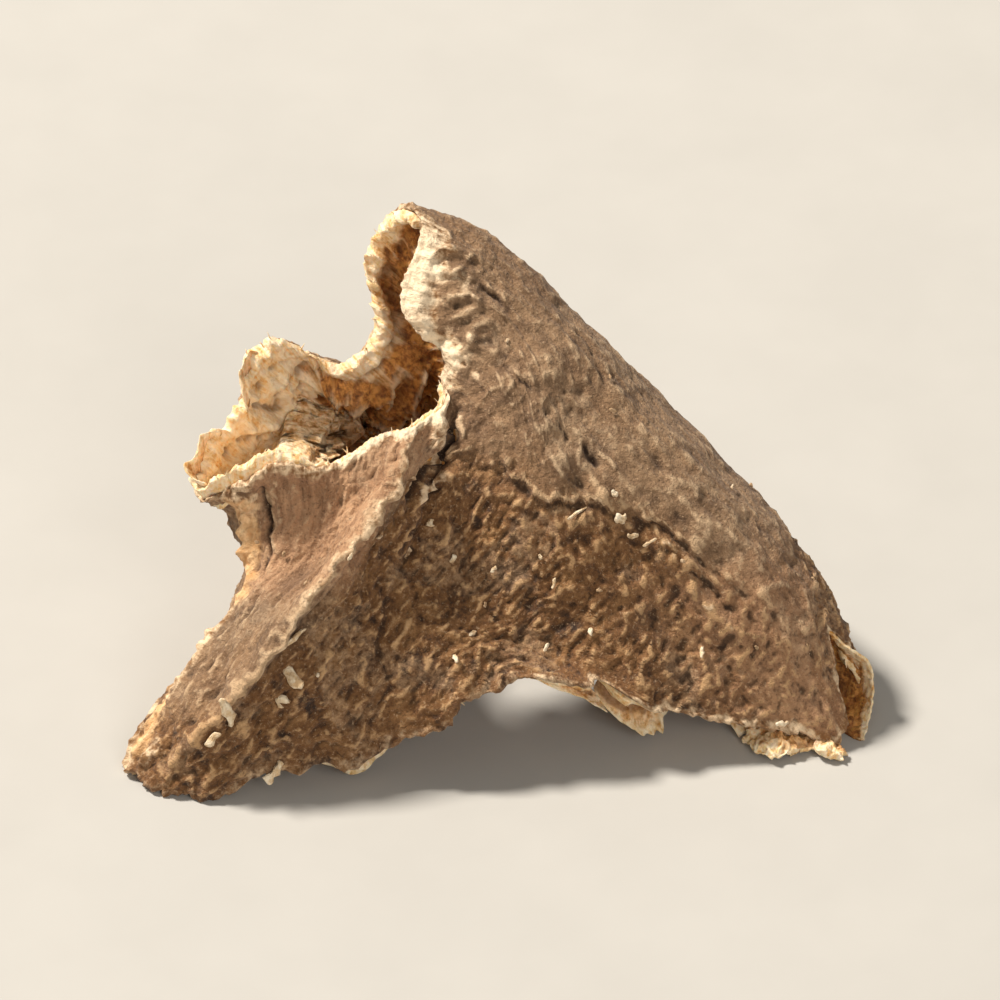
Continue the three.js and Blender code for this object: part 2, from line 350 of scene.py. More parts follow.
@dataclass
class BarkForm:
    """The shard's shape: a control net of the outer face, and the wall's thickness under it, in mm.

    Reach is the share of a column that a tear or a lift moves at each end. A wall thinner than the full one
    carries less relief, down to the least share. Leans are the places where the mouth curls outward: net
    column, width in columns, length and way out. Grain is the radius and length of the straight tube that
    patterns follow. Reliefs and tears are (height, size, seed) fields.
    """

    net: Array = field(default_factory=lambda: NET[:, 1:].reshape(-1, 5, 3).transpose(1, 0, 2))
    thickness: Array = field(default_factory=lambda: NET[:, 0])
    full_wall: float = 0.9
    least_relief: float = 0.25
    foot: float = 0.02
    reach: float = 0.22
    inward_step: float = 0.02
    grain_radius: float = 7.0
    grain_length: float = 14.0
    outer_relief: tuple = ((0.42, 4.2, 1), (0.34, 2.1, 2), (0.16, 1.15, 3))
    inner_relief: tuple = ((0.14, 2.4, 4), (0.08, 1.2, 5))
    tears: dict = field(default_factory=lambda: {
        Edge.MOUTH: ((0.4, 1.5, 6),),
        Edge.BASE: ((0.7, 1.9, 7), (0.3, 0.9, 8)),
    })
    leans: tuple = (
        (11.3, 1.3, 1.9, 0.6), (9.9, 0.7, 1.3, 0.35), (5.3, 0.55, 1.1, 0.3), (14.2, 0.9, 1.2, 0.2),
        (1.5, 1.6, 0.7, -0.15),
    )

    def __post_init__(self) -> None:
        """Lay the inner net under the outer one, along softened normals."""
        n = grid_normals(self.net.transpose(1, 0, 2)).transpose(1, 0, 2)
        for _ in range(2):
            n = unit(np.roll(n, 1, 1) + 2 * n + np.roll(n, -1, 1))
        self.inner = self.net - n * (TAPER[:, None] * self.thickness[None])[..., None]

    def sheet(self, net: Array, k: Array, t: Array) -> Array:
        """A point of the surface through a net: Catmull-Rom round each ring, then down the rings.

        Args:
            net: (rings, columns, 3).
            k: net column, closing on itself.
            t: share of the way from mouth (0) to base (1).

        Returns:
            Points in mm.
        """
        count = net.shape[1]
        i = np.floor(k).astype(int)
        rings = [curve_between([ring[(i + s) % count] for s in (-1, 0, 1, 2)], k - i) for ring in net]
        stations = np.stack([2 * rings[0] - rings[1], *rings, 2 * rings[-1] - rings[-2]])
        last = len(rings) - 1
        j = np.clip(np.floor(t * last).astype(int), 0, last - 1)
        spot = np.indices(k.shape)
        return curve_between([stations[(j + s, *spot)] for s in range(4)], t * last - j)

    def column_length(self, k: Array, steps: int = 24) -> Array:
        """Length of columns from mouth to base, added up over straight steps.

        Args:
            k: net columns, (n,).
            steps: how many steps.

        Returns:
            Lengths in mm, (n,).
        """
        t = np.broadcast_to(np.linspace(0, 1, steps + 1), (len(k), steps + 1))
        p = self.sheet(self.net, np.repeat(k[:, None], steps + 1, 1), t)
        return np.linalg.norm(np.diff(p, axis=1), axis=-1).sum(1)

    def grain(self, k: Array, t: Array) -> Array:
        """Where a point would be on a straight tube, so that patterns can follow the growth.

        Args:
            k: net column.
            t: height share.

        Returns:
            Points in mm, with the length of the root along Z.
        """
        turn = 2 * math.pi * k / COLUMNS
        radius = self.grain_radius
        return np.stack([radius * np.cos(turn), radius * np.sin(turn), self.grain_length * t], -1)

    def seam_rise(self, points: Array, seams: tuple[Seam, ...], taper: float = 0.0) -> Array:
        """Height that the seams add: each one's rise times exp(-(distance / width)^2).

        Args:
            points: (columns, rows, 3) in mm, on the outer sheet.
            seams: creases and ridges.
            taper: share of a seam's length over which each end dies away.

        Returns:
            Heights in mm.
        """
        total = np.zeros(points.shape[:-1])
        for seam in seams:
            k, t = np.array(seam.path).T
            line = self.sheet(self.net, k, t)
            near, along = np.full(points.shape[:-1], 1e9), np.zeros(points.shape[:-1])
            for part, (a, b) in enumerate(zip(line[:-1], line[1:])):
                share = np.clip(((points - a) @ (b - a)) / ((b - a) @ (b - a)), 0, 1)
                gap = np.linalg.norm(points - a - share[..., None] * (b - a), axis=-1)
                along = np.where(gap < near, (part + share) / (len(line) - 1), along)
                near = np.minimum(near, gap)
            fade = smooth((0.5 - np.abs(along - 0.5)) / taper) if taper else 1.0
            total += seam.rise * fade * bell(near, 0, seam.width)
        return total

    def distance(self, points: Array, k: float, t: float) -> Array:
        """How far points are from one place of the outer sheet, in mm."""
        return np.linalg.norm(points - self.sheet(self.net, np.array(k), np.array(t)), axis=-1)

    def small_marks(self, points: Array) -> Array:
        """Height of the wandering small seams, the pits and the ring-shaped bump near the peak.

        Args:
            points: (columns, rows, 3) in mm, on the outer sheet.

        Returns:
            Heights in mm.
        """
        wander = 0.28 * Noise.sway(points, 0.8, 97)
        shake = 0.12 * Noise.gradient(points, 0.3, 100)[..., None]
        points = points + wander + shake
        height = self.seam_rise(points, MARKS, 0.2)
        for k, t, radius, depth in PITS:
            height -= depth * bell(self.distance(points, k, t), 0, radius)
        for k, t, radius, width, rise in RING_BUMPS:
            height += rise * bell(self.distance(points, k, t), radius, width)
        return height * (1 + Noise.layers(points, ((1.1, 0.55, 44), (0.6, 0.22, 101))))

    def wall(self, k: Array, t: Array, depth: float) -> Array:
        """Points inside the wall, with the folds, lumps and tears of the solid.

        Outer and inner sheets are mixed by depth, then moved along the normal by their relief and by the
        leans, which curl the mouth outward. Both ends are drawn out along the column by the tear at that
        column, and low columns are lifted.

        Args:
            k: net column.
            t: height share.
            depth: 0 on the outer face, 1 on the inner.

        Returns:
            Points in mm, (columns, rows, 3).
        """
        outer, inner = self.sheet(self.net, k, t), self.sheet(self.inner, k, t)
        carry = np.clip(np.linalg.norm(outer - inner, axis=-1) / self.full_wall, self.least_relief, 1)
        rise = (1 - depth) * (Noise.layers(outer, self.outer_relief) + self.seam_rise(outer, FOLDS))
        rise = rise + depth * Noise.layers(inner, self.inner_relief)
        from_mouth = t * self.column_length(k[:, 0])[:, None]
        for at, width, reach, out in self.leans:
            rise = rise + out * hump(k, at, width) * smooth(1 - from_mouth / reach) / carry
        p = outer * (1 - depth) + inner * depth + grid_normals(outer) * (rise * carry)[..., None]
        for edge, plan in self.tears.items():
            rim = self.sheet(self.net, k[:, :1], np.full_like(t[:, :1], edge.value))
            back = self.sheet(self.net, k[:, :1], np.full_like(t[:, :1], abs(edge.value - self.inward_step)))
            share = smooth(1 - np.abs(t - edge.value) / self.reach)
            p += unit(rim - back) * (Noise.layers(rim, plan) * share)[..., None]
        lift = np.maximum(0, ORIGIN[2] + self.foot - p[:, -1:, 2])
        for _ in range(3):
            lift = np.maximum(lift, (np.roll(lift, 1, 0) + np.roll(lift, -1, 0)) / 2)
        p[..., 2] += lift * smooth(1 - (1 - t) / self.reach)
        return p


@dataclass
class TornLayer:
    """One closed layer of the wall: a front face, a back face and two torn edges.

    Subclasses say how far each edge comes short and what relief each face has. Depths are shares of the
    wall, 0 at its outer face. Edge bands are the pale bands along each edge: net column, width in mm and
    paleness. A face with few rows crowds them towards its edges.
    """

    form: BarkForm
    name: str = "layer"
    columns: int = 560
    front_rows: int = 40
    back_rows: int = 40
    few_rows: int = 40
    front_depth: float = 0.0
    back_depth: float = 1.0
    edge_reach: float = 0.18
    rim_rows: int = 4
    rim_bulge: float = 0.1
    rim_seed: int = 60
    frame_reach: int = 4
    edge_bands: dict = field(default_factory=lambda: {"mouth": ((0, 1.0, 1.0),), "base": ((0, 1.0, 1.0),)})
    shares: dict = field(default_factory=dict)
    faces: dict = field(default_factory=dict)
    rims: dict = field(default_factory=dict)

    def short(self, k: Array, edge: Edge, rim: Array) -> Array:
        """How far each column stops short of the solid's edge, in mm; negative goes past it."""
        raise NotImplementedError

    def relief(self, k: Array, t: Array, sheet: Array, front: bool) -> tuple[Array, dict]:
        """Fine relief of one face in mm, and the masks that its finish reads."""
        raise NotImplementedError

    def gap(self, k: Array, t: Array, length: Array) -> Array:
        """How far the layer stands in from its place, in mm."""
        return np.zeros_like(t)

    def face(self, front: bool) -> tuple[Array, dict[str, Array]]:
        """One face as a grid of points, with its masks.

        A row's height share is moved towards each edge by that edge's shortfall, fading over the edge's
        reach, and its point is moved along the normal by the relief less the gap.

        Args:
            front: the outward face, or the inward one.

        Returns:
            Points in mm (columns, rows, 3), and arrays by mask name.
        """
        rows = self.front_rows if front else self.back_rows
        column = np.arange(self.columns) / self.columns * COLUMNS
        length = self.form.column_length(column)
        share = np.linspace(0, 1, rows)
        if rows < self.few_rows:
            share = 0.5 - 0.5 * np.cos(math.pi * share)
        net = self.form.net
        rim = {edge: self.form.sheet(net, column, np.full_like(column, edge.value)) for edge in Edge}
        top = self.short(column, Edge.MOUTH, rim[Edge.MOUTH]) / length
        bottom = 1 - self.short(column, Edge.BASE, rim[Edge.BASE]) / length
        near_mouth = np.clip(1 - share / self.edge_reach, 0, 1)
        near_base = np.clip(1 - (1 - share) / self.edge_reach, 0, 1)
        k = np.repeat(column[:, None], rows, 1)
        t = share + top[:, None] * near_mouth + (bottom[:, None] - 1) * near_base
        p = self.form.wall(k, t, self.front_depth if front else self.back_depth)
        sheet = self.form.sheet(net, k, t)
        height, masks = self.relief(k, t, sheet, front)
        side = 1 if front else -1
        p = p + grid_normals(p) * (side * height - self.gap(k, t, length[:, None]))[..., None]
        from_edge = {
            "mouth": (t - top[:, None]) * length[:, None],
            "base": (bottom[:, None] - t) * length[:, None],
        }
        masks["relief"] = crest_mask(p, side * grid_normals(p))
        masks["edge"] = self.paleness(k, sheet, from_edge)
        masks["grain"] = self.form.grain(k, t)
        masks["front"] = np.full_like(t, float(front))
        self.shares[front] = t
        return p, masks

    def paleness(self, k: Array, sheet: Array, from_edge: dict[str, Array]) -> Array:
        """Mask of the pale bands: each band's paleness, easing to nothing over its ragged width.

        Args:
            k: net column.
            sheet: points of the outer sheet in mm.
            from_edge: distances from each edge in mm.

        Returns:
            The stronger band at each point.
        """
        ragged = 1 + 1.2 * Noise.gradient(sheet, 0.6, 62)
        bands = []
        for name, table in self.edge_bands.items():
            width = round_table(k, table) * ragged
            bands.append(smooth(1.3 - 1.3 * from_edge[name] / width) * round_table(k, table, 2))
        return np.maximum(*bands)

    def torn_edge(self, start: Array, end: Array, beyond: Array) -> Array:
        """Rows of points that round an edge, roughened by a fine random push.

        Args:
            start: last points of one face, (columns, 3).
            end: first points of the other.
            beyond: unit vectors out of the edge.

        Returns:
            (columns, rim_rows, 3).
        """
        angle = math.pi * np.arange(1, self.rim_rows + 1) / (self.rim_rows + 1)
        share = ((1 - np.cos(angle)) / 2)[None, :, None]
        p = start[:, None] * (1 - share) + end[:, None] * share
        push = self.rim_bulge * np.sin(angle)[None, :, None]
        rough = Noise.gradient(p, 0.22, self.rim_seed) + 0.6 * Noise.gradient(p, 0.1, self.rim_seed + 1)
        return p + beyond[:, None] * push * (1 + 1.5 * rough[..., None])

    def build(self, finish: Finish) -> Piece:
        """Close the two faces and their edges into one mesh, and keep them for what clings to it.

        Args:
            finish: the layer's material.

        Returns:
            The object, in place and riding on the root body.
        """
        front, front_masks = self.face(True)
        back, back_masks = self.face(False)
        self.faces = {True: front, False: back}
        back = back[:, ::-1]
        out = {Edge.BASE: unit(front[:, -1] - front[:, -3]), Edge.MOUTH: unit(front[:, 0] - front[:, 2])}
        base = self.torn_edge(front[:, -1], back[:, 0], out[Edge.BASE])
        mouth = self.torn_edge(back[:, -1], front[:, 0], out[Edge.MOUTH])
        middle = self.rim_rows // 2
        self.rims = {
            Edge.BASE: (base[:, middle], out[Edge.BASE]),
            Edge.MOUTH: (mouth[:, middle], out[Edge.MOUTH]),
        }
        points = np.concatenate([front, base, back, mouth], 1)
        masks = {}
        ramp = np.linspace(0, 1, self.rim_rows + 2)[1:-1]
        for name, a in front_masks.items():
            b = back_masks[name][:, ::-1]
            w = ramp.reshape(1, -1, *([1] * (a.ndim - 2)))
            low = a[:, -1:] * (1 - w) + b[:, :1] * w
            high = b[:, -1:] * (1 - w) + a[:, :1] * w
            masks[name] = np.concatenate([a, low, b, high], 1)
        index = np.arange(points[..., 0].size).reshape(points.shape[:2])
        beside = np.roll(index, -1, 0)
        quads = np.stack([index, beside, np.roll(beside, -1, 1), np.roll(index, -1, 1)], -1)
        return place_piece(self.name, points.reshape(-1, 3), quads.reshape(-1, 4).tolist(), masks, finish)

    def frame_at(self, k: float, edge: Edge) -> tuple[Array, Array, Array, Array]:
        """A point on a torn edge, with unit vectors out along the column, round the shard and out of it.

        Args:
            k: net column.
            edge: which edge.

        Returns:
            The point and the three vectors.
        """
        points, beyond = self.rims[edge]
        at = int(round(k / COLUMNS * self.columns)) % self.columns
        reach = self.frame_reach
        side = unit(points[(at + reach) % self.columns] - points[at - reach])
        along = unit(beyond[at - reach] + 2 * beyond[at] + beyond[(at + reach) % self.columns])
        side = unit(side - along * (side @ along))
        out = np.cross(side, along) if edge is Edge.BASE else np.cross(along, side)
        return points[at], along, side, out

    def skin_at(self, k: Array, t: Array, front: bool = True) -> tuple[Array, Array, Array]:
        """The face's points nearest to net places.

        Args:
            k: net columns.
            t: height shares.
            front: the outward face, or the inward one.

        Returns:
            Points, outward normals and unit vectors down the columns, all in the shape (..., 3).
        """
        grid = self.faces[front]
        column = np.round(k / COLUMNS * self.columns).astype(int) % self.columns
        row = np.clip(np.abs(self.shares[front][column] - t[..., None]).argmin(-1), 1, grid.shape[1] - 2)
        down = unit(grid[column, row + 1] - grid[column, row - 1])
        return grid[column, row], grid_normals(grid)[column, row], down


def place_piece(name: str, points: Array, faces: list, masks: dict[str, Array], finish: Finish) -> Piece:
    """Make a mesh object at the origin, with its masks as attributes, riding on the root body.

    Points under the floor are lifted onto it.

    Args:
        name: the piece's name.
        points: (n, 3) in mm.
        faces: lists of point numbers.
        masks: values by point; arrays ending in three numbers are stored as vectors, in metres.
        finish: its material.

    Returns:
        The object.
    """
    points = points - ORIGIN
    points[:, 2] = np.maximum(points[:, 2], 0)
    mesh = bpy.data.meshes.new(name)
    mesh.from_pydata((points * MM).tolist(), [], faces)
    for key, value in masks.items():
        if value.shape[-1] == 3 and value.size == points.size:
            layer = mesh.attributes.new(key, "FLOAT_VECTOR", "POINT")
            layer.data.foreach_set("vector", (value * MM).astype(np.float32).ravel())
        else:
            layer = mesh.attributes.new(key, "FLOAT", "POINT")
            layer.data.foreach_set("value", value.astype(np.float32).ravel())
    mesh.polygons.foreach_set("use_smooth", np.ones(len(mesh.polygons), bool))
    mesh.materials.append(finish)
    piece = bpy.data.objects.new(name, mesh)
    bpy.context.scene.collection.objects.link(piece)
    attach(piece, BODY)
    triangles = sum(len(face) - 2 for face in faces)
    log.info("%s: %d points, %d triangles", name, len(points), triangles)
    return piece


# Small marks of the near side: creases, grooves and crests too fine for the solid.
MARKS = (
    Seam(-0.6, 0.15, ((4.72, 0.03), (4.45, 0.18), (4.75, 0.26), (5.3, 0.28), (5.6, 0.36))),
    Seam(0.2, 0.14, ((4.35, 0.31), (4.7, 0.335), (5.05, 0.33), (5.3, 0.345))),
    Seam(0.14, 0.1, ((4.3, 0.05), (4.12, 0.18), (4.3, 0.28))),
    Seam(0.28, 0.3, ((5.15, 0.0), (4.9, 0.1), (5.0, 0.19))),
    Seam(0.2, 0.13, ((6.1, 0.255), (5.58, 0.262), (4.9, 0.33), (4.4, 0.325))),
    Seam(0.26, 0.42, ((10.5, -0.2), (10.75, 0.13), (10.95, 0.22), (10.95, 0.32), (10.8, 0.4), (10.4, 0.46))),
    Seam(0.24, 0.24, (
        (10.9, 0.3), (10.7, 0.4), (10.3, 0.48), (10.05, 0.57), (9.95, 0.68), (9.7, 0.776), (9.5, 0.84),
        (9.5, 0.95),
    )),
    Seam(-0.26, 0.15, ((10.38, 0.07), (10.3, 0.2), (10.28, 0.3), (10.0, 0.42), (9.6, 0.52))),
    Seam(-0.18, 0.15, ((9.6, 0.5), (9.3, 0.6), (9.35, 0.7), (9.1, 0.8))),
    Seam(0.2, 0.26, ((8.95, 0.9), (8.75, 0.94), (8.65, 0.99))),
    Seam(-0.22, 0.12, ((1.46, 0.68), (1.38, 0.73), (1.3, 0.77))),
    Seam(0.14, 0.12, ((1.6, 0.69), (1.56, 0.74), (1.5, 0.785), (1.25, 0.81), (1.05, 0.8))),
    Seam(0.11, 0.12, ((2.8, 0.74), (2.33, 0.731), (2.02, 0.726))),
    Seam(-0.22, 0.13, ((0.98, 0.15), (1.2, 0.2), (1.22, 0.235), (0.95, 0.3))),
    Seam(0.17, 0.13, ((0.75, 0.03), (0.6, 0.08), (0.53, 0.128), (0.2, 0.16))),
    Seam(0.17, 0.13, ((1.48, 0.064), (1.17, 0.078), (0.7, 0.151))),
    Seam(0.22, 0.14, ((2.1, 0.164), (2.38, 0.146), (2.77, 0.096), (3.1, 0.03))),
    Seam(-0.17, 0.12, ((2.52, 0.27), (2.25, 0.32), (2.05, 0.365))),
    Seam(-0.17, 0.11, ((1.62, 0.443), (1.6, 0.479))),
    Seam(-0.26, 0.13, ((1.4, 0.487), (1.48, 0.535))),
    Seam(0.1, 0.1, ((1.25, 0.5), (1.35, 0.57), (1.42, 0.6))),
    Seam(0.1, 0.12, ((0.8, 0.393), (0.95, 0.425), (0.38, 0.425))),
    Seam(-0.13, 0.12, ((21.82, 0.37), (0.05, 0.416), (0.3, 0.45))),
    Seam(0.14, 0.14, ((1.43, 0.584), (1.45, 0.612), (1.5, 0.653), (1.45, 0.69))),
    Seam(-0.2, 0.16, ((10.5, 0.04), (10.35, 0.2), (9.85, 0.45))),
    Seam(-0.14, 0.14, ((9.5, 0.06), (9.4, 0.2), (9.1, 0.5))),
    Seam(0.13, 0.16, ((10.0, 0.03), (9.8, 0.3))),
    Seam(0.12, 0.18, ((10.9, 0.05), (10.8, 0.4))),
    Seam(-0.1, 0.12, ((8.5, 0.1), (8.4, 0.32), (8.5, 0.5))),
    Seam(-0.12, 0.16, ((7.6, 0.1), (7.7, 0.3))),
    Seam(0.2, 0.25, ((0.1, 0.03), (1.0, 0.035), (2.0, 0.03), (3.0, 0.03))),
    Seam(-0.09, 0.12, ((2.6, 0.05), (2.3, 0.22), (2.4, 0.35))),
    Seam(-0.14, 0.12, ((5.6, 0.62), (5.75, 0.75), (5.7, 0.9))),
    Seam(-0.12, 0.12, ((12.1, 0.3), (12.4, 0.55), (12.2, 0.9))),
    Seam(-0.12, 0.12, ((14.6, 0.12), (14.8, 0.35), (14.5, 0.6))),
    Seam(-0.14, 0.12, ((18.4, 0.3), (18.7, 0.5), (18.5, 0.75))),
    Seam(-0.12, 0.12, ((21.2, 0.2), (21.0, 0.4), (21.3, 0.62))),
    Seam(0.1, 0.14, ((16.1, 0.1), (16.0, 0.4), (16.2, 0.7))),
)

# Small pits of the near side: net column, height share, radius and depth in mm.
PITS = (
    (2.58, 0.068, 0.4, 0.3), (1.95, 0.329, 0.14, 0.18), (1.78, 0.42, 0.14, 0.18), (1.73, 0.817, 0.17, 0.2),
    (1.48, 0.836, 0.17, 0.2), (0.62, 0.877, 0.14, 0.16), (1.0, 0.858, 0.16, 0.16), (2.35, 0.936, 0.13, 0.16),
    (1.97, 0.927, 0.13, 0.16), (1.8, 0.932, 0.13, 0.16), (1.86, 0.12, 0.17, 0.2),
)

# Ring-shaped bumps: net column, height share, then radius, width and height in mm.
RING_BUMPS = ((1.75, 0.13, 0.46, 0.18, 0.13),)


@dataclass(frozen=True)
class TornStep:
    """A long torn ledge on the cork: gentle on its left, steep on its right, with a hollow under it.

    Path and strength are (height share, value) pairs: the net column, and 0 to 1. Hollow and slit are
    depth, distance from the crest and width, crest is distance and width, and ragged is (height, size,
    seed) fields, all in mm.
    """

    path: tuple = ((0.0, 6.2), (0.2, 6.75), (0.36, 6.95), (0.5, 7.2), (0.66, 7.55), (0.82, 7.95), (1.0, 8.4))
    strength: tuple = ((0.0, 0.5), (0.12, 1.0), (0.6, 0.9), (0.8, 0.5), (1.0, 0.1))
    ragged: tuple = ((0.3, 0.7, 45), (0.16, 0.3, 46))
    rise: float = 0.34
    shoulder: float = 0.7
    cliff: float = 0.09
    hollow: tuple[float, float, float] = (0.3, -0.42, 0.3)
    slit: tuple[float, float, float] = (0.22, 0.34, 0.11)
    crest: tuple[float, float] = (0.03, 0.09)

    def shape(self, k: Array, t: Array, sheet: Array) -> tuple[Array, Array]:
        """Height of the ledge, from the distance s to its path in mm, which a fine noise makes ragged.

        On the left the height is exp(-s / shoulder), cut by a broken slit beside the crest; on the right it
        eases to nothing over the cliff, and a rounded hollow follows.

        Args:
            k: net column.
            t: height share.
            sheet: points of the outer sheet in mm.

        Returns:
            Height in mm, and a mask of the torn crest.
        """
        line = np.interp(t, *np.array(self.path).T)
        force = np.interp(t, *np.array(self.strength).T)
        step = np.linalg.norm(np.roll(sheet, -1, 0) - np.roll(sheet, 1, 0), axis=-1) / 2
        s = (k - line) * step * len(k) / COLUMNS + Noise.layers(sheet, self.ragged)
        shoulder, cliff = np.exp(-np.maximum(s, 0) / self.shoulder), smooth(1 + s / self.cliff)
        height = self.rise * np.where(s > 0, shoulder, cliff)
        broken = smooth(3 * Noise.gradient(sheet, 0.9, 50))
        hollow = self.hollow[0] * bell(s, *self.hollow[1:])
        slit = self.slit[0] * bell(s, *self.slit[1:]) * broken
        height -= hollow + slit
        return force * height, force * bell(s, *self.crest)


@dataclass(frozen=True)
class Patch:
    """An area under the mouth: first and last net column and lowest height share, each with its fade."""

    first: tuple[float, float]
    last: tuple[float, float]
    low: tuple[float, float]

    def mask(self, k: Array, t: Array) -> Array:
        """1 inside the area, easing to 0 over the fades."""
        sides = smooth((k - self.first[0]) / self.first[1]) * smooth((self.last[0] - k) / self.last[1])
        return sides * smooth((self.low[0] - t) / self.low[1])


@dataclass(frozen=True)
class Stand:
    """How high a texture stands in mm: everywhere, and what the lower bark and the flat facet add."""

    everywhere: float = 0.0
    lower: float = 0.0
    facet: float = 0.0

    def at(self, lower: Array, facet: Array) -> Array:
        """The height at each point, from the masks of the two zones."""
        return self.everywhere + self.lower * lower + self.facet * facet


@dataclass
class CorkLayer(TornLayer):
    """The grey-brown outer bark: wrinkled above, rough and pitted below, and peeled in places.

    Bend and peel are (net column, value) pairs: the height share where the rough lower bark begins, and how
    far the upper skin's edge has lifted there. Stroke is the direction that the lower bark is drawn out in.
    Bites are torn out of the base: net column, width in columns and depth in mm; beside the deep ones at the
    head of the table the relief is calm. Shaded is painted shade on the foot of the facet, where a fold lies
    in shadow, as column, width, height share, height and strength, and flank is the flat right side, as
    column, width, height share and fade.
    """

    name: str = "cork_layer"
    columns: int = 520
    front_rows: int = 172
    back_rows: int = 10
    front_depth: float = 0.0
    back_depth: float = 0.5
    # Where the mouth's paleness passes 1 the finish adds its bright layer, a painted highlight along the
    # near lip.
    edge_bands: dict = field(default_factory=lambda: {
        "mouth": (
            (0, 2.0, 1.2), (0.6, 3.4, 1.7), (2.6, 3.4, 1.6), (3.5, 1.6, 1.4), (4.6, 0.9, 1.6),
            (5.6, 0.75, 1.7), (8, 0.6, 1.6), (9, 0.6, 1.2), (20, 0.55, 1.0), (21.5, 0.9, 0.9),
        ),
        "base": (
            (0, 0.5, 0.9), (1.4, 0.6, 1.1), (2.6, 0.5, 0.9), (4, 0.4, 0.7), (4.6, 0.4, 0.35),
            (8.6, 0.4, 0.35), (9.2, 0.5, 1.0), (12, 0.4, 0.9), (21, 0.4, 0.8),
        ),
    })
    heights: dict = field(default_factory=lambda: {
        "wrinkle": Stand(0.085, facet=-0.015),
        "fine_wrinkle": Stand(0.04),
        "net": Stand(0.06, facet=-0.03),
        "small_net": Stand(0.035, 0.06),
        "grit": Stand(0.04, 0.04),
        "crumple": Stand(0.035, 0.055),
        "lumps": Stand(0.35, 0.2),
        "plates": Stand(0.0, 0.04),
        "cracks": Stand(0.0, -0.035),
        "pits": Stand(-0.07, -0.08),
        "peeled": Stand(-0.05, facet=0.03),
    })
    bend: tuple = (
        (0.0, 0.95), (0.3, 0.92), (1.2, 0.7), (1.6, 0.58), (3.0, 0.44), (4.4, 0.3), (5.6, 0.26), (6.5, 0.5),
        (8.0, 0.8), (10.0, 0.85), (12.0, 0.6), (14.0, 0.45), (16.0, 0.5), (18.0, 0.4), (20.0, 0.5),
        (21.5, 0.75),
    )
    peel: tuple = (
        (0.0, 0.2), (1.0, 0.5), (1.4, 1.0), (3.0, 1.0), (3.5, 0.6), (4.2, 0.9), (5.4, 0.9), (6.1, 0.2),
        (10.5, 0.2), (12.0, 0.6), (14.0, 0.9), (16.0, 0.6), (18.0, 1.0), (20.0, 0.7), (21.5, 0.2),
    )
    back_edge: tuple = ((0, -0.15), (4, -0.1), (5, 0.0), (8.5, 0.0), (10, 0.1), (20, 0.1), (21.5, -0.1))
    ragged_edge: tuple = ((0, 0.3), (4, 0.35), (6, 0.5), (9, 0.6), (11, 1.3), (17, 1.2), (21, 0.5))
    lip: tuple[float, float, float] = (4.5, 0.8, 1.15)
    past_base: float = 0.1
    facets: tuple[Patch, ...] = (
        Patch((6.1, 0.5), (10.9, 0.6), (0.64, 0.16)),
        Patch((4.55, 0.25), (6.5, 0.5), (0.28, 0.06)),
    )
    ledge: TornStep = TornStep()
    stroke: tuple[float, float, float] = (0.6, 0.34, 0.72)
    # Painted light: golden light laid along the rolled left edge and down the leg, which the lamps leave in
    # shade.
    painted_light: tuple[Seam, ...] = (
        Seam(1.2, 0.55, (
            (10.95, 0.04), (10.95, 0.22), (10.75, 0.32), (10.5, 0.43), (10.3, 0.52), (10.2, 0.6),
        )),
        Seam(1.0, 0.38, ((10.25, 0.6), (10.15, 0.7), (9.9, 0.81), (9.5, 0.9), (9.2, 0.94), (9.0, 0.99))),
    )
    bites: tuple = (
        (3.6, 0.18, 1.05), (5.1, 0.22, 0.4), (1.5, 0.5, 0.75), (2.3, 0.4, 0.3), (7.0, 0.25, 0.3),
        (3.1, 0.25, 0.2),
    )
    deep_bites: int = 2
    shaded: tuple[float, ...] = (8.7, 1.2, 0.5, 0.15, 0.62)
    flank: tuple[float, ...] = (1.1, 1.4, 0.62, 0.16)

    def short(self, k: Array, edge: Edge, rim: Array) -> Array:
        """Ragged ends, set back where the lip rolls in, and bites torn out of the base.

        Args:
            k: net column.
            edge: which edge.
            rim: the outer sheet's points on that edge in mm.

        Returns:
            Shortfall in mm.
        """
        ragged = 0.5 * np.abs(Noise.gradient(rim, 1.3, 21)) + 0.35 * np.abs(Noise.gradient(rim, 0.5, 22))
        ragged += 0.12 * Noise.gradient(rim, 0.2, 23)
        if edge is Edge.MOUTH:
            back = round_table(k, self.back_edge) - humps(k, (self.lip,))
            return back + ragged * round_table(k, self.ragged_edge)
        return ragged - self.past_base + humps(k, self.bites)

    def zones(self, k: Array, t: Array, sheet: Array) -> tuple[Array, Array, Array]:
        """Where the rough lower bark begins, with masks of it and of the flat facet and lip under the mouth.

        Args:
            k: net column.
            t: height share.
            sheet: points of the outer sheet in mm.

        Returns:
            The bend line's height share, and the two masks.
        """
        bend = round_table(k, self.bend) + 0.12 * Noise.gradient(sheet, 2.2, 30)
        return bend, smooth((t - bend) / 0.2 + 0.5), np.maximum(*(patch.mask(k, t) for patch in self.facets))

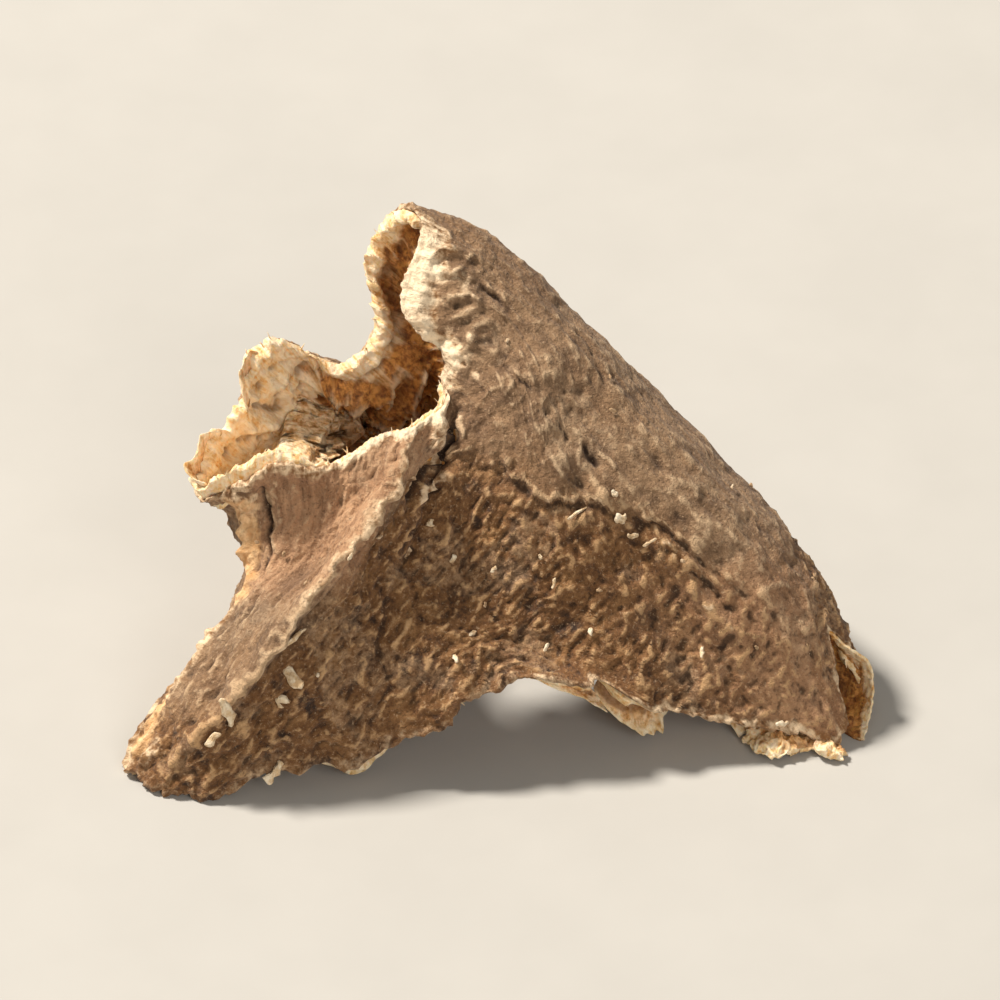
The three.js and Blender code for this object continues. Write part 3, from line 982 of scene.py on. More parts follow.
    def textures(self, grain: Array, sheet: Array) -> dict[str, Array]:
        """The cork's textures, whose heights in mm stand in the table of the same names.

        Wrinkles run along the growth. The small net and the crumple are drawn out along the stroke, by
        taking most of a point's way along it off the point. Plates and pits are cells with a random number
        each.

        Args:
            grain: points of the straight tube in mm.
            sheet: points of the outer sheet in mm.

        Returns:
            Arrays of about -0.5 to 0.5, or 0 to 1 for cracks, pits and the peeled patches.
        """
        long_grain = grain * np.array([1, 1, 0.3]) + 0.35 * Noise.gradient(sheet, 1.5, 47)[..., None]
        stroke = np.array(self.stroke)
        drawn = sheet - 0.62 * (sheet @ stroke)[..., None] * stroke
        drawn = drawn + 0.2 * Noise.gradient(sheet, 0.9, 84)[..., None]
        near, far, plate = Noise.cells(sheet + 0.3 * Noise.gradient(sheet, 0.7, 36)[..., None], 0.75, 37)
        pit_gap, _, pit_tag = Noise.cells(sheet, 1.25, 39)
        skin = Noise.layers(sheet, ((1.0, 2.6, 41), (0.45, 0.9, 42), (0.2, 0.35, 43)))
        return {
            "wrinkle": Noise.worms(long_grain, 0.8, 31) - 0.35,
            "fine_wrinkle": Noise.worms(long_grain * np.array([1, 1, 1.6]), 0.4, 32) - 0.35,
            "net": Noise.worms(sheet, 0.8, 33) - 0.3,
            "small_net": Noise.worms(drawn, 0.3, 48) - 0.3,
            "grit": Noise.gradient(sheet, 0.26, 49),
            "crumple": Noise.crumple(drawn, 0.5, 80) * (1 + 1.1 * Noise.gradient(sheet, 1.9, 85)),
            "lumps": Noise.layers(sheet, ((0.14, 0.85, 34), (0.12, 0.42, 35))),
            "plates": plate - 0.5,
            "cracks": 1 - smooth((far - near) / 0.16),
            "pits": (1 - smooth(pit_gap / 0.24)) * (pit_tag > 0.62),
            "peeled": smooth((skin - 0.12) / 0.05),
        }

    def peel_edge(self, k: Array, t: Array, bend: Array, sheet: Array) -> tuple[Array, Array]:
        """The torn edge where the smooth upper skin ends: a step with a raised rim and a hollow under it.

        The height follows s, the distance above the ragged bend line in mm.

        Args:
            k: net column.
            t: height share.
            bend: height share of the bend line.
            sheet: points of the outer sheet in mm.

        Returns:
            Height in mm, and a mask of the torn rim.
        """
        s = (bend + Noise.layers(sheet, ((0.045, 0.9, 86), (0.03, 0.35, 87))) - t) * 13
        force = round_table(k, self.peel) * smooth(0.75 + 1.6 * Noise.gradient(sheet, 1.7, 88))
        height = 0.11 * smooth(s / 0.1 + 0.5) + 0.09 * bell(s, 0.14, 0.14) - 0.12 * bell(s, -0.2, 0.18)
        return force * height, force * bell(s, 0.05, 0.08)

    def relief(self, k: Array, t: Array, sheet: Array, front: bool) -> tuple[Array, dict]:
        """Sum of the textures, the small marks, the ledge and the peeled edge, calm beside the deep bites.

        Args:
            k: net column.
            t: height share.
            sheet: points of the outer sheet in mm.
            front: the outward face, or the inward one, which is plain.

        Returns:
            Height in mm, and arrays by mask name.
        """
        bend, lower, facet = self.zones(k, t, sheet)
        if not front:
            plain, none = np.ones_like(t), np.zeros_like(t)
            masks = {"lower": lower, "facet": facet, "peeled": plain, "torn": plain}
            return 0.05 * Noise.gradient(sheet, 0.6, 38), {**masks, "slit": none, "painted_light": none}
        textures = self.textures(self.form.grain(k, t), sheet)
        height = sum(self.heights[name].at(lower, facet) * texture for name, texture in textures.items())
        marks = self.form.small_marks(sheet)
        ledge, crest = self.ledge.shape(k, t, sheet)
        rim, peel = self.peel_edge(k, t, bend, sheet)
        deep_bites = self.bites[:self.deep_bites]
        beside = humps(k, tuple((at, 2.2 * width, min(1.0, deep)) for at, width, deep in deep_bites))
        calm = 1 - 0.85 * np.clip(beside, 0, 1) * smooth((t - 0.84) / 0.08)
        height = (height + marks + ledge + rim) * calm
        # The slit mask is painted shade: the finish darkens deep creases of the small marks and the shaded
        # patch on the facet.
        column, width, share, tall, strength = self.shaded
        shadow = strength * hump(k, column, width) * bell(t, share, tall)
        slit = np.maximum(np.clip(-marks / 0.28, 0, 1), shadow)
        # Raised small marks are painted pale: partly as torn-edge colour, partly as a painted highlight on
        # their crests.
        torn = np.maximum(crest, np.maximum(0.7 * peel, 1.15 * np.clip((marks - 0.07) / 0.12, 0, 1)))
        # Painted light: golden light along the rolled left edge and leg, broken by noise.
        painted_light = self.form.seam_rise(sheet, self.painted_light, 0.1)
        painted_light *= 1 + Noise.layers(sheet, ((1.2, 0.5, 116), (0.8, 0.22, 121)))
        column, width, share, fade = self.flank
        flat = np.maximum(facet, 0.8 * hump(k, column, width) * smooth((t - share) / fade))
        masks = {"lower": lower, "facet": flat, "peeled": textures["peeled"], "torn": torn}
        return height, {**masks, "slit": slit, "painted_light": painted_light}


@dataclass
class BastLayer(TornLayer):
    """The golden fibrous inner bark, which reaches past the cork at the edges and has partly come off it.

    Tables of three numbers give net column, width in columns, and mm: how far tongues reach past the base,
    how far the layer has parted from the cork, and how thick the pith lies on it. Roll is the rolled rim of
    the far mouth, as height, distance from the rim and width in mm.
    """

    name: str = "bast_layer"
    columns: int = 540
    front_rows: int = 24
    back_rows: int = 146
    front_depth: float = 0.4
    back_depth: float = 1.0
    rim_bulge: float = 0.12
    edge_bands: dict = field(default_factory=lambda: {
        "mouth": (
            (0, 0.8, 0.8), (3, 1.5, 0.8), (4, 2.5, 0.9), (9, 3.0, 0.9), (10, 4.5, 1.5), (15.4, 4.5, 1.5),
            (16.4, 2.2, 0.8), (18, 1.8, 0.85), (20, 1.9, 0.8), (20.8, 1.6, 0.85), (21.8, 1.0, 0.8),
        ),
        "base": (
            (0, 1.2, 0.9), (0.8, 1.2, 1.4), (2.8, 1.2, 1.3), (4, 1.2, 0.8), (5, 1.2, 0.5), (9, 1.2, 0.6),
            (12, 1.2, 0.8),
        ),
    })
    past_mouth: tuple = (
        (0, -0.2), (4, -0.2), (5, 0.0), (8.5, 0.0), (10, 0.3), (12, 0.35), (16, 0.25), (20, 0.0),
    )
    lip: tuple[float, float, float] = (4.5, 0.8, 1.05)
    ragged_mouth: tuple = ((0, 0.5), (5, 0.5), (8, 0.6), (10, 1.2), (17, 1.2), (21, 0.6))
    tucked_base: tuple = ((0, 0.2), (4.3, 0.2), (5, 0.3), (8, 0.3), (9, 0.1), (12, 0.0), (20, 0.1))
    tongues: tuple = (
        (0.35, 0.2, 0.2), (6.3, 0.4, 0.2), (5.3, 0.5, -0.35), (3.6, 0.12, -1.1), (2.5, 0.8, -0.5),
        (1.3, 0.6, -0.1), (14.3, 0.3, 0.3), (18.0, 0.4, 0.3), (16.2, 0.3, 0.25),
    )
    folds: tuple[Seam, ...] = (
        Seam(0.32, 0.28, ((15.05, 0.19), (14.75, 0.174), (14.4, 0.132), (13.92, 0.05), (13.6, 0.02))),
        Seam(-0.35, 0.26, ((14.27, 0.0), (14.45, 0.087), (14.65, 0.16), (14.75, 0.2))),
        Seam(0.28, 0.25, ((15.43, 0.03), (15.03, 0.09), (14.6, 0.045))),
        Seam(-0.3, 0.28, ((15.88, 0.05), (15.4, 0.132), (14.97, 0.21), (14.57, 0.265))),
        Seam(0.26, 0.22, ((16.15, 0.2), (15.95, 0.17), (15.5, 0.22), (15.45, 0.3))),
    )
    parted: tuple = ((2.5, 1.2, 0.7), (1.2, 0.7, 0.55), (6.0, 0.8, 0.3), (14.5, 0.8, 0.3), (18.5, 0.6, 0.3))
    parted_mouth: tuple[float, float, float] = (0.1, 0.9, 0.3)
    pith: tuple = ((1.6, 2.0, 1.1), (19.4, 1.9, 1.2), (4.6, 1.2, 0.7), (16.5, 1.4, 0.6), (13.0, 1.2, 0.3))
    roll: tuple = ((0.14, 0.25, 0.35), (-0.1, 0.95, 0.35))
    rolled: tuple[float, float] = (19.4, 1.9)

    def short(self, k: Array, edge: Edge, rim: Array) -> Array:
        """Frayed ends a few tenths past the solid, with tongues and gaps where strips tore off.

        Args:
            k: net column.
            edge: which edge.
            rim: the outer sheet's points on that edge in mm.

        Returns:
            Shortfall in mm.
        """
        ragged = Noise.layers(rim, ((0.45, 1.1, 51), (0.28, 0.42, 52), (0.16, 0.16, 53)))
        if edge is Edge.MOUTH:
            past = round_table(k, self.past_mouth) + humps(k, (self.lip,))
            return ragged * round_table(k, self.ragged_mouth) - past
        return round_table(k, self.tucked_base) + ragged - humps(k, self.tongues)

    def gap(self, k: Array, t: Array, length: Array) -> Array:
        """The layer stands in where it parted from the cork: at the base, and in a slit at the peak.

        Args:
            k: net column.
            t: height share.
            length: length of each column in mm.

        Returns:
            Distance in mm.
        """
        strands = np.maximum(0, Noise.gradient(self.form.grain(k, np.ones_like(t)), 1.8, 54))
        at_base = (humps(k, self.parted) + 0.25 * strands) * smooth(1 - (1 - t) * length / 2.0)
        return at_base + humps(k, (self.parted_mouth,)) * smooth(1 - t * length / 1.6)

    def relief(self, k: Array, t: Array, sheet: Array, front: bool) -> tuple[Array, dict]:
        """Strands along the growth in a coarse net, with knots and hollows between them.

        The outward face is lower, and follows the cork's marks inward. The inward face has the rolled rim,
        the folds and the pith as well.

        Args:
            k: net column.
            t: height share.
            sheet: points of the outer sheet in mm.
            front: the outward face, or the inward one.

        Returns:
            Height in mm, and no masks of its own.
        """
        grain = self.form.grain(k, t)
        strand = Noise.worms(grain * np.array([1, 1, 0.22]), 0.6, 55) - 0.35
        thread = Noise.worms(grain * np.array([1, 1, 0.3]), 0.3, 56) - 0.35
        height = 0.07 * strand + 0.03 * thread + 0.2 * (Noise.worms(sheet, 1.1, 57) - 0.3)
        height += Noise.layers(sheet, ((0.36, 1.0, 58), (0.168, 0.42, 59), (0.07, 0.24, 61)))
        if front:
            dents = self.form.small_marks(sheet) + CorkLayer.ledge.shape(k, t, sheet)[0]
            return 0.4 * height + np.minimum(0, dents + 0.05), {}
        from_rim = t * self.form.grain_length
        roll = sum(rise * bell(from_rim, away, width) for rise, away, width in self.roll)
        height += roll * hump(k, *self.rolled)
        height += self.form.seam_rise(sheet, self.folds, 0.15) * (1 + Noise.gradient(sheet, 0.6, 119))
        pith = humps(k, self.pith) * smooth((t - 0.05) / 0.1) * smooth((0.6 - t) / 0.25)
        knobs = 1 + 1.2 * Noise.gradient(sheet, 1.3, 63) + 0.6 * Noise.crumple(sheet, 0.8, 64)
        return height + pith * knobs, {}


def close_tubes(rings: Array) -> tuple[Array, list]:
    """Join rings of points into closed tubes with flat ends, whose faces look outwards.

    A tube is inside out where its rings' area vectors, each times the step along the tube, add up to less
    than nothing; its faces are then turned round.

    Args:
        rings: (tubes, rings, sides, 3).

    Returns:
        Points (n, 3), and faces as lists of point numbers.
    """
    tubes, count, sides = rings.shape[:3]
    index = np.arange(tubes * count * sides).reshape(tubes, count, sides)
    a, b = index[:, :-1], index[:, 1:]
    quads = np.stack([a, np.roll(a, -1, 2), np.roll(b, -1, 2), b], -1)
    first, last = index[:, 0, ::-1].copy(), index[:, -1].copy()
    middle = rings.mean(2)
    spoke = rings - middle[:, :, None]
    area = np.cross(spoke, np.roll(spoke, -1, 2)).sum(2)
    inside_out = (area * np.gradient(middle, axis=1)).sum((1, 2)) < 0
    for part in (quads, first, last):
        part[inside_out] = part[inside_out][..., ::-1]
    return rings.reshape(-1, 3), quads.reshape(-1, 4).tolist() + first.tolist() + last.tolist()


def there_and_back(a: Array) -> Array:
    """A row of numbers followed by the same row backwards, for the two faces of a thin sheet."""
    return np.concatenate([a, a[::-1]])


@dataclass(frozen=True)
class Strip:
    """A thin strip of bast along a torn edge, from one net column to another; sizes in mm.

    Drop is how far its middle reaches past the rim, inset how far it stands in from it. Curl turns the
    free side out, skew puts the longest point nearer its start (0) or end (1), and tuck is how far its root
    goes up inside the shard.
    """

    start: float
    end: float
    drop: float
    inset: float
    curl: float = 0.0
    skew: float = 0.5
    edge: Edge = Edge.BASE
    tuck: float = 0.7
    thick: float = 0.13


@dataclass
class TornStrips:
    """Strips of inner bark that have come away along the torn edges and hang past them.

    Window is how many points of the rim are averaged under a strip. Clear is the least height of a strip's
    end over the floor, in mm.
    """

    bast: BastLayer
    name: str = "torn_strips"
    along: int = 64
    down: int = 18
    window: int = 17
    clear: float = 0.12
    waves: float = 0.12
    strips: tuple[Strip, ...] = (
        Strip(4.35, 3.68, 0.9, 0.12, 0.1, 0.8),
        Strip(3.5, 2.7, 1.3, 0.85, 0.0, 0.4),
        Strip(2.8, 1.95, 0.75, 0.95, 0.0, 0.6),
        Strip(2.25, 1.35, 1.9, 0.25, 0.5, 0.4, tuck=0.74),
        Strip(6.6, 5.5, 0.35, 0.2, 0.1, 0.4),
        Strip(9.9, 9.2, 0.4, 0.1, 0.1, 0.4),
        Strip(15.6, 14.4, 0.5, 0.15, 0.2, 0.6),
        Strip(18.7, 17.6, 0.6, 0.2, 0.25, 0.4),
        Strip(13.4, 11.7, 0.7, 0.15, 0.3, 0.5, Edge.MOUTH),
        Strip(15.2, 14.1, 0.5, 0.1, -0.2, 0.5, Edge.MOUTH),
    )

    def _soften(self, rows: Array) -> Array:
        """Running mean of rows of vectors under a raised-cosine window.

        Args:
            rows: (n, 3).

        Returns:
            (n, 3).
        """
        kernel = np.hanning(self.window) / np.hanning(self.window).sum()
        padded = np.pad(rows, ((self.window // 2, self.window // 2), (0, 0)), "edge")
        return np.stack([np.convolve(column, kernel, "valid") for column in padded.T], 1)

    def _strip(self, number: int, s: Strip) -> Array:
        """One strip as rings round its section, each from its root to its free side and back.

        At share a of its length the strip reaches drop times sin(pi a)^0.8 past the rim, with a turned to
        put the longest point where skew says, made ragged by noise and held off the floor. It stands in by
        its inset, out by curl times the square of the way past the rim, and thins towards its free side.

        Args:
            number: which strip, for its own random tears.
            s: its sizes.

        Returns:
            (rings, sides, 3) in mm.
        """
        a = np.linspace(0, 1, self.along)
        frames = [self.bast.frame_at(k, s.edge) for k in s.start + (s.end - s.start) * a]
        rim, along, _, out = (self._soften(np.array(part)) for part in zip(*frames))
        peak = a ** (math.log(0.5) / math.log(s.skew))
        spot = np.stack([a * 5 + number * 17, a * 0, a * 0], -1)
        ragged = 1 + Noise.layers(spot, ((0.7, 1.2, 70), (0.3, 0.5, 76)))
        reach = s.drop * np.sin(math.pi * peak) ** 0.8 * ragged
        if s.edge is Edge.BASE:
            reach = np.minimum(reach, (rim[:, 2] - ORIGIN[2] - self.clear) / np.maximum(-along[:, 2], 0.2))
        share = there_and_back(np.linspace(0, 1, self.down // 2))[None, :, None]
        face = np.where(np.arange(self.down) < self.down // 2, 0.5, -0.5)[None, :, None]
        thin = s.thick * (1 - 0.75 * share**2) * np.minimum(1, 6 * np.sin(math.pi * a) + 0.1)[:, None, None]
        past = share * (reach + s.tuck)[:, None, None] - s.tuck
        stand = -s.inset * smooth(share * 1.6) + s.curl * np.maximum(0, past) ** 2
        ring = rim[:, None] + along[:, None] * past + out[:, None] * (stand + face * thin)
        return ring + out[:, None] * self.waves * Noise.gradient(ring, 0.6, 71)[..., None]

    def build(self, finish: Finish) -> Piece:
        """Make every strip and join them; roots get painted shade, as under the edge above them, and free
        sides are pale.

        Args:
            finish: the strips' material.

        Returns:
            The object.
        """
        rings = np.stack([self._strip(number, s) for number, s in enumerate(self.strips)])
        points, faces = close_tubes(rings)
        masks = loose_masks(points, 72)
        share = np.broadcast_to(there_and_back(np.linspace(0, 1, self.down // 2)), rings.shape[:3]).ravel()
        masks["edge"] = 0.15 + 0.85 * share**3
        # Painted shade: the root half is darkened as if in the shadow under the edge.
        masks["relief"] -= 2.6 * (1 - smooth((share - 0.42) / 0.22))
        return place_piece(self.name, points, faces, masks, finish)


@dataclass
class RimFibres:
    """Fine hairs of bast that stick out of the torn edges; lengths and thicknesses in mm."""

    bast: BastLayer
    name: str = "rim_fibres"
    count: int = 110
    rings: int = 7
    sides: int = 5
    thick: tuple[float, float] = (0.05, 0.12)
    long: tuple[float, float] = (0.15, 0.4)
    lean: float = 0.5
    side_bend: float = 0.35
    out_bend: float = 0.25
    root: float = 0.12
    taper: float = 0.8
    seed: int = 5

    def build(self, finish: Finish) -> Piece:
        """Start each hair inside an edge, bend it at random on its way out, and keep it off the floor.

        Args:
            finish: the hairs' material.

        Returns:
            The object.
        """
        rng = np.random.default_rng(self.seed)
        k = rng.uniform(0, COLUMNS, self.count)
        frames = [self.bast.frame_at(at, edge) for at, edge in zip(k, rng.choice(list(Edge), self.count))]
        start, along, side, out = (np.array(part) for part in zip(*frames))
        lean = rng.normal(0, self.lean, (self.count, 2))
        bend = side * rng.normal(0, self.side_bend, (self.count, 1))
        bend = bend + out * rng.normal(0, self.out_bend, (self.count, 1))
        start = start - along * self.root
        along = unit(along + side * lean[:, :1] + out * lean[:, 1:])
        a = np.linspace(0, 1, self.rings)[None, :, None]
        length = rng.uniform(*self.long, self.count)[:, None, None]
        line = start[:, None] + length * (along[:, None] * a + bend[:, None] * a**2)
        line[..., 2] = np.maximum(line[..., 2], ORIGIN[2] + self.thick[1] / 2)
        turn = np.linspace(0, 2 * math.pi, self.sides, endpoint=False)
        radius = 0.5 * rng.uniform(*self.thick, self.count)[:, None, None] * (1 - self.taper * a)
        spoke = side[:, None, None] * np.cos(turn)[:, None] + out[:, None, None] * np.sin(turn)[:, None]
        points, faces = close_tubes(line[:, :, None] + spoke * radius[..., None])
        return place_piece(self.name, points, faces, loose_masks(points, 73), finish)


@dataclass
class LooseChips:
    """Small pale flakes of bark that cling to the skin.

    Placed ones are net column, height share, width and length in mm, and turn in degrees from the column.
    The scattered ones draw theirs from the ranges. A flake is as high as the least height plus a share of
    its width; it stands out by a share of that, and a little more.
    """

    cork: CorkLayer
    name: str = "loose_chips"
    placed: tuple = (
        (6.95, 0.77, 0.42, 1.0, 48), (7.32, 0.67, 0.2, 1.15, -27), (7.03, 0.826, 0.4, 0.5, -20),
        (7.95, 0.815, 0.34, 1.35, 43), (7.9, 0.87, 0.26, 0.75, -22), (7.0, 0.985, 0.4, 1.05, -20),
        (1.68, 0.594, 0.36, 0.46, 70), (1.72, 0.628, 0.2, 0.42, 40), (1.55, 0.57, 0.18, 0.3, 0),
        (7.15, 0.46, 0.16, 0.5, 0), (2.02, 0.836, 0.16, 0.42, -40), (1.65, 0.95, 0.2, 0.5, 60),
        (4.78, 0.438, 0.26, 0.3, 0), (4.5, 0.548, 0.18, 0.34, -60), (3.95, 0.594, 0.14, 0.3, -60),
        (4.55, 0.776, 0.15, 0.6, -60), (4.97, 0.858, 0.18, 0.34, 0), (3.3, 0.584, 0.14, 0.2, 0),
        (3.35, 0.648, 0.12, 0.42, -50), (3.27, 0.785, 0.18, 0.3, -30), (3.85, 0.826, 0.13, 0.42, -50),
        (2.3, 0.56, 0.13, 0.9, 95), (1.62, 0.645, 0.13, 0.6, 80),
    )
    scattered: int = 38
    ranges: tuple = ((0, COLUMNS), (0.25, 0.97), (0.07, 0.17), (0.1, 0.34), (-90, 90))
    placed_pale: tuple[float, float] = (0.7, 1.3)
    scattered_pale: tuple[float, float] = (-0.3, 0.6)
    least_high: float = 0.07
    high_share: float = 0.22
    out_share: float = 0.45
    out: float = 0.08
    blunt: float = 0.15
    sides: int = 12
    rings: int = 9
    seed: int = 9

    def build(self, finish: Finish) -> Piece:
        """Lay flattened, uneven lumps on the outer face, half sunk in it.

        A ring at polar angle p lies half the length times cos(p) along the flake. Its points at angle q
        stand off by half the width times sin(p)^0.8 cos(q) and half the height times sin(p)^0.5 sin(q),
        both chipped by noise, and the rings sway from side to side.

        Args:
            finish: the chips' material.

        Returns:
            The object.
        """
        rng = np.random.default_rng(self.seed)
        spread = [rng.uniform(low, high, self.scattered) for low, high in self.ranges]
        k, t, width, length, turn = np.concatenate([np.array(self.placed).T, spread], 1)
        centre, out, down = self.cork.skin_at(k, t)
        side = np.cross(out, down)
        angle = np.radians(turn)[:, None]
        long = unit(down * np.cos(angle) + side * np.sin(angle))
        wide = np.cross(out, long)
        centre, out, long, wide = (v[:, None, None] for v in (centre, out, long, wide))
        length, width = length[:, None, None, None], width[:, None, None, None]
        high = self.least_high + self.high_share * width
        polar = np.linspace(self.blunt, math.pi - self.blunt, self.rings)[None, :, None, None]
        spin = np.linspace(0, 2 * math.pi, self.sides, endpoint=False)[None, None, :, None]
        own = np.arange(len(k))[:, None, None] * 7.3
        spot = np.stack(np.broadcast_arrays(np.cos(polar[..., 0]) * 1.2, np.cos(spin[..., 0]), own), -1)
        chipped = 1 + Noise.layers(spot, ((1.1, 0.8, 74), (1.2, 0.4, 78)))[..., None]
        sway = 0.6 * Noise.gradient(spot * np.array([1, 0, 1]), 1.1, 77)[..., None]
        ring = (0.5 * length * np.cos(polar) * long
                + width * (0.5 * np.sin(polar) ** 0.8 * np.cos(spin) * chipped + sway) * wide
                + 0.5 * high * np.sin(polar) ** 0.5 * np.sin(spin) * chipped * out)
        points, faces = close_tubes(centre + ring + (self.out_share * high + self.out) * out)
        masks = loose_masks(points, 75)
        placed = np.arange(len(k)) < len(self.placed)
        pale = [rng.uniform(*limits, len(k)) for limits in (self.placed_pale, self.scattered_pale)]
        masks["edge"] = np.repeat(np.where(placed, *pale), self.rings * self.sides)
        masks["relief"] += 0.5
        return place_piece(self.name, points, faces, masks, finish)


@dataclass
class PithWeb:
    """Dried pith that still spans the narrow left of the mouth, from the near wall to the far one.

    Near, far and their shares run from the left tip to the web's free edge. Knobs are (height, size, seed)
    fields, and a full knob is the height that counts as 1 in the relief mask. Thick is at the free edge,
    and thick_root is what the left tip adds.
    """

    bast: BastLayer
    name: str = "pith_web"
    near: tuple[float, float] = (12.4, 8.6)
    far: tuple[float, float] = (12.6, 16.6)
    near_share: tuple[float, float] = (0.03, 0.06)
    far_share: tuple[float, float] = (0.05, 0.26)
    across: int = 90
    along: int = 110
    bury: float = 0.25
    sag: float = 0.35
    ragged: tuple = ((0.35, 1.3, 90), (0.2, 0.4, 91))
    knobs: tuple = ((0.22, 1.1, 92), (0.14, 0.5, 93), (0.05, 0.2, 95))
    full_knob: float = 0.12
    thick: float = 0.12
    thick_root: float = 0.3

    def build(self, finish: Finish) -> Piece:
        """Stretch a thin, knobbly sheet between the two walls, with a torn free edge.

        Each row joins a point of the near wall to one of the far wall and sags as sin(pi u) between them.
        A noise along the free edge draws the rows out or in.

        Args:
            finish: the web's material.

        Returns:
            The object.
        """
        u = np.linspace(0, 1, self.across)[None]
        spot = np.stack([6 * u, 0 * u, 0 * u], -1)
        torn = 0.8 + Noise.layers(spot, self.ragged) + 0.25 * (2 * u - 1) ** 2
        v = np.linspace(0, 1, self.along)[:, None] * torn
        rims = []
        for columns, shares in ((self.near, self.near_share), (self.far, self.far_share)):
            k, t = (ends[0] + (ends[1] - ends[0]) * v for ends in (columns, shares))
            point, normal, _ = self.bast.skin_at(k, t, False)
            rims.append(point + self.bury * normal)
        top = rims[0] * (1 - u[..., None]) + rims[1] * u[..., None]
        for _ in range(3):
            top[1:-1] = (top[:-2] + 2 * top[1:-1] + top[2:]) / 4
        knobs = Noise.layers(top, self.knobs) + 0.1 * Noise.crumple(top, 0.9, 94)
        top[..., 2] += knobs - self.sag * np.sin(math.pi * u) * np.minimum(1, 2 * v)
        under = top.copy()
        under[..., 2] -= self.thick + self.thick_root * (1 - np.minimum(1, v))
        points, faces = close_tubes(np.concatenate([top, under[:, ::-1]], 1)[None, :, ::-1])
        masks = loose_masks(points, 96)
        for key, values in (("relief", knobs / self.full_knob), ("edge", np.clip(1.25 - 0.85 * v, 0, 1))):
            masks[key] = np.concatenate([values, values[:, ::-1]], 1).ravel()
        return place_piece(self.name, points, faces, masks, finish)


def curve_through(points: Array, share: Array) -> Array:
    """Catmull-Rom curves through rows of numbers.

    Args:
        points: (rows, numbers).
        share: shares of the way from the first row to the last.

    Returns:
        (shares, numbers).
    """
    wide = np.concatenate([2 * points[:1] - points[1:2], points, 2 * points[-1:] - points[-2:-1]])
    at = share * (len(points) - 1)
    i = np.minimum(at.astype(int), len(points) - 2)
    return curve_between([wide[i + s] for s in range(4)], at - i)


# Lines of the curled end of the far wall, from the top of the gap down to the floor.
END_CURL = np.array([
    [[11.8, -3.95, 3.7], [12.7, -4.05, 2.9], [13.35, -3.89, 2.15],
     [13.48, -3.98, 1.3], [13.4, -4.54, 0.6], [13.07, -5.7, 0.1]],
    [[11.7, -3.57, 3.36], [12.02, -3.11, 2.4], [12.38, -3.09, 1.59],
     [12.7, -3.25, 0.69], [12.81, -3.98, 0.2], [12.7, -5.5, 0.08]],
    [[11.4, -3.2, 3.2], [11.5, -2.6, 1.9], [11.7, -2.5, 1.1],
     [11.8, -2.6, 0.4], [11.8, -3.3, 0.14], [12.1, -4.9, 0.08]],
])

# Lines of the frayed flap under the base's right corner, from left to right.
BASE_FLAP = np.array([
    [[8.7, -5.75, 0.25], [9.5, -6.75, 0.16], [10.1, -6.85, 0.3],
     [11.0, -6.4, 0.22], [11.9, -6.75, 0.14], [12.5, -6.55, 0.1]],
    [[8.9, -5.5, 0.4], [9.8, -6.1, 0.62], [10.4, -6.35, 0.5],
     [11.1, -6.15, 0.3], [11.7, -6.35, 0.4], [12.3, -6.4, 0.2]],
    [[9.1, -5.1, 0.45], [9.9, -5.5, 0.5], [10.5, -5.6, 0.3],
     [11.0, -5.7, 0.2], [11.6, -5.9, 0.25], [12.2, -6.15, 0.2]],
])


@dataclass
class BarkCurl:
    """A torn curl of inner bark, stretched over three lines of points.

    The lines are the free rim, the hollow behind it and the root inside the shard, in mm from the part's
    origin. Frayed is the share of the way from rim to root that is pale. Knobs and tears are (height, size,
    seed) fields, and rough multiplies them.
    """

    name: str
    lines: Array
    frayed: float = 0.3
    rough: float = 1.0
    along: int = 120
    across: int = 40
    thick: float = 0.2
    knobs: tuple = ((0.16, 0.9, 110), (0.1, 0.4, 111), (0.06, 0.18, 112))
    tears: tuple = ((0.16, 0.7, 113), (0.1, 0.25, 114))
    torn: float = 0.3

    def build(self, finish: Finish) -> Piece:
        """Stretch a knobbly sheet through the lines and give it thickness and a ragged rim.

        The sheet is a Catmull-Rom surface, u along the lines and v from the rim to the root. It is thinner
        at its rim, which tears draw out or in.

        Args:
            finish: the curl's material.

        Returns:
            The object.
        """
        u = np.linspace(0, 1, self.along)
        v = np.linspace(0, 1, self.across)
        rows = curve_through(self.lines.transpose(1, 0, 2).reshape(-1, 9), u).reshape(-1, 3, 3)
        grid = curve_through(rows.transpose(1, 0, 2).reshape(3, -1), v)
        grid = grid.reshape(self.across, self.along, 3) + ORIGIN
        normal = unit(np.cross(np.gradient(grid, axis=1), np.gradient(grid, axis=0)))
        knobs = self.rough * Noise.layers(grid, self.knobs)
        knobs += (self.rough - 1) * 0.14 * Noise.crumple(grid, 0.6, 117)
        grid = grid + normal * knobs[..., None]
        tear = self.rough * Noise.layers(grid[0], self.tears)[:, None]
        grid = grid + (unit(grid[0] - grid[3]) * tear)[None] * smooth(1 - v / self.torn)[:, None, None]
        thin = self.thick * (0.45 + 0.55 * smooth(v / 0.2))[:, None, None] * normal
        rings = np.concatenate([grid + thin / 2, (grid - thin / 2)[::-1]]).transpose(1, 0, 2)[None]
        points, faces = close_tubes(rings)
        masks = loose_masks(points, 115)
        share = np.tile(there_and_back(v), self.along)
        ragged = 1 + 0.8 * self.rough * Noise.gradient(points, 0.5, 118)
        masks["edge"] = 1.3 * smooth(1 - share / (self.frayed * ragged))
        # Painted shade: towards the root the sheet darkens, as in the shadow inside the shard.
        masks["relief"] -= 2.6 * smooth((share - self.frayed - 0.1) / 0.4)
        return place_piece(self.name, points, faces, masks, finish)


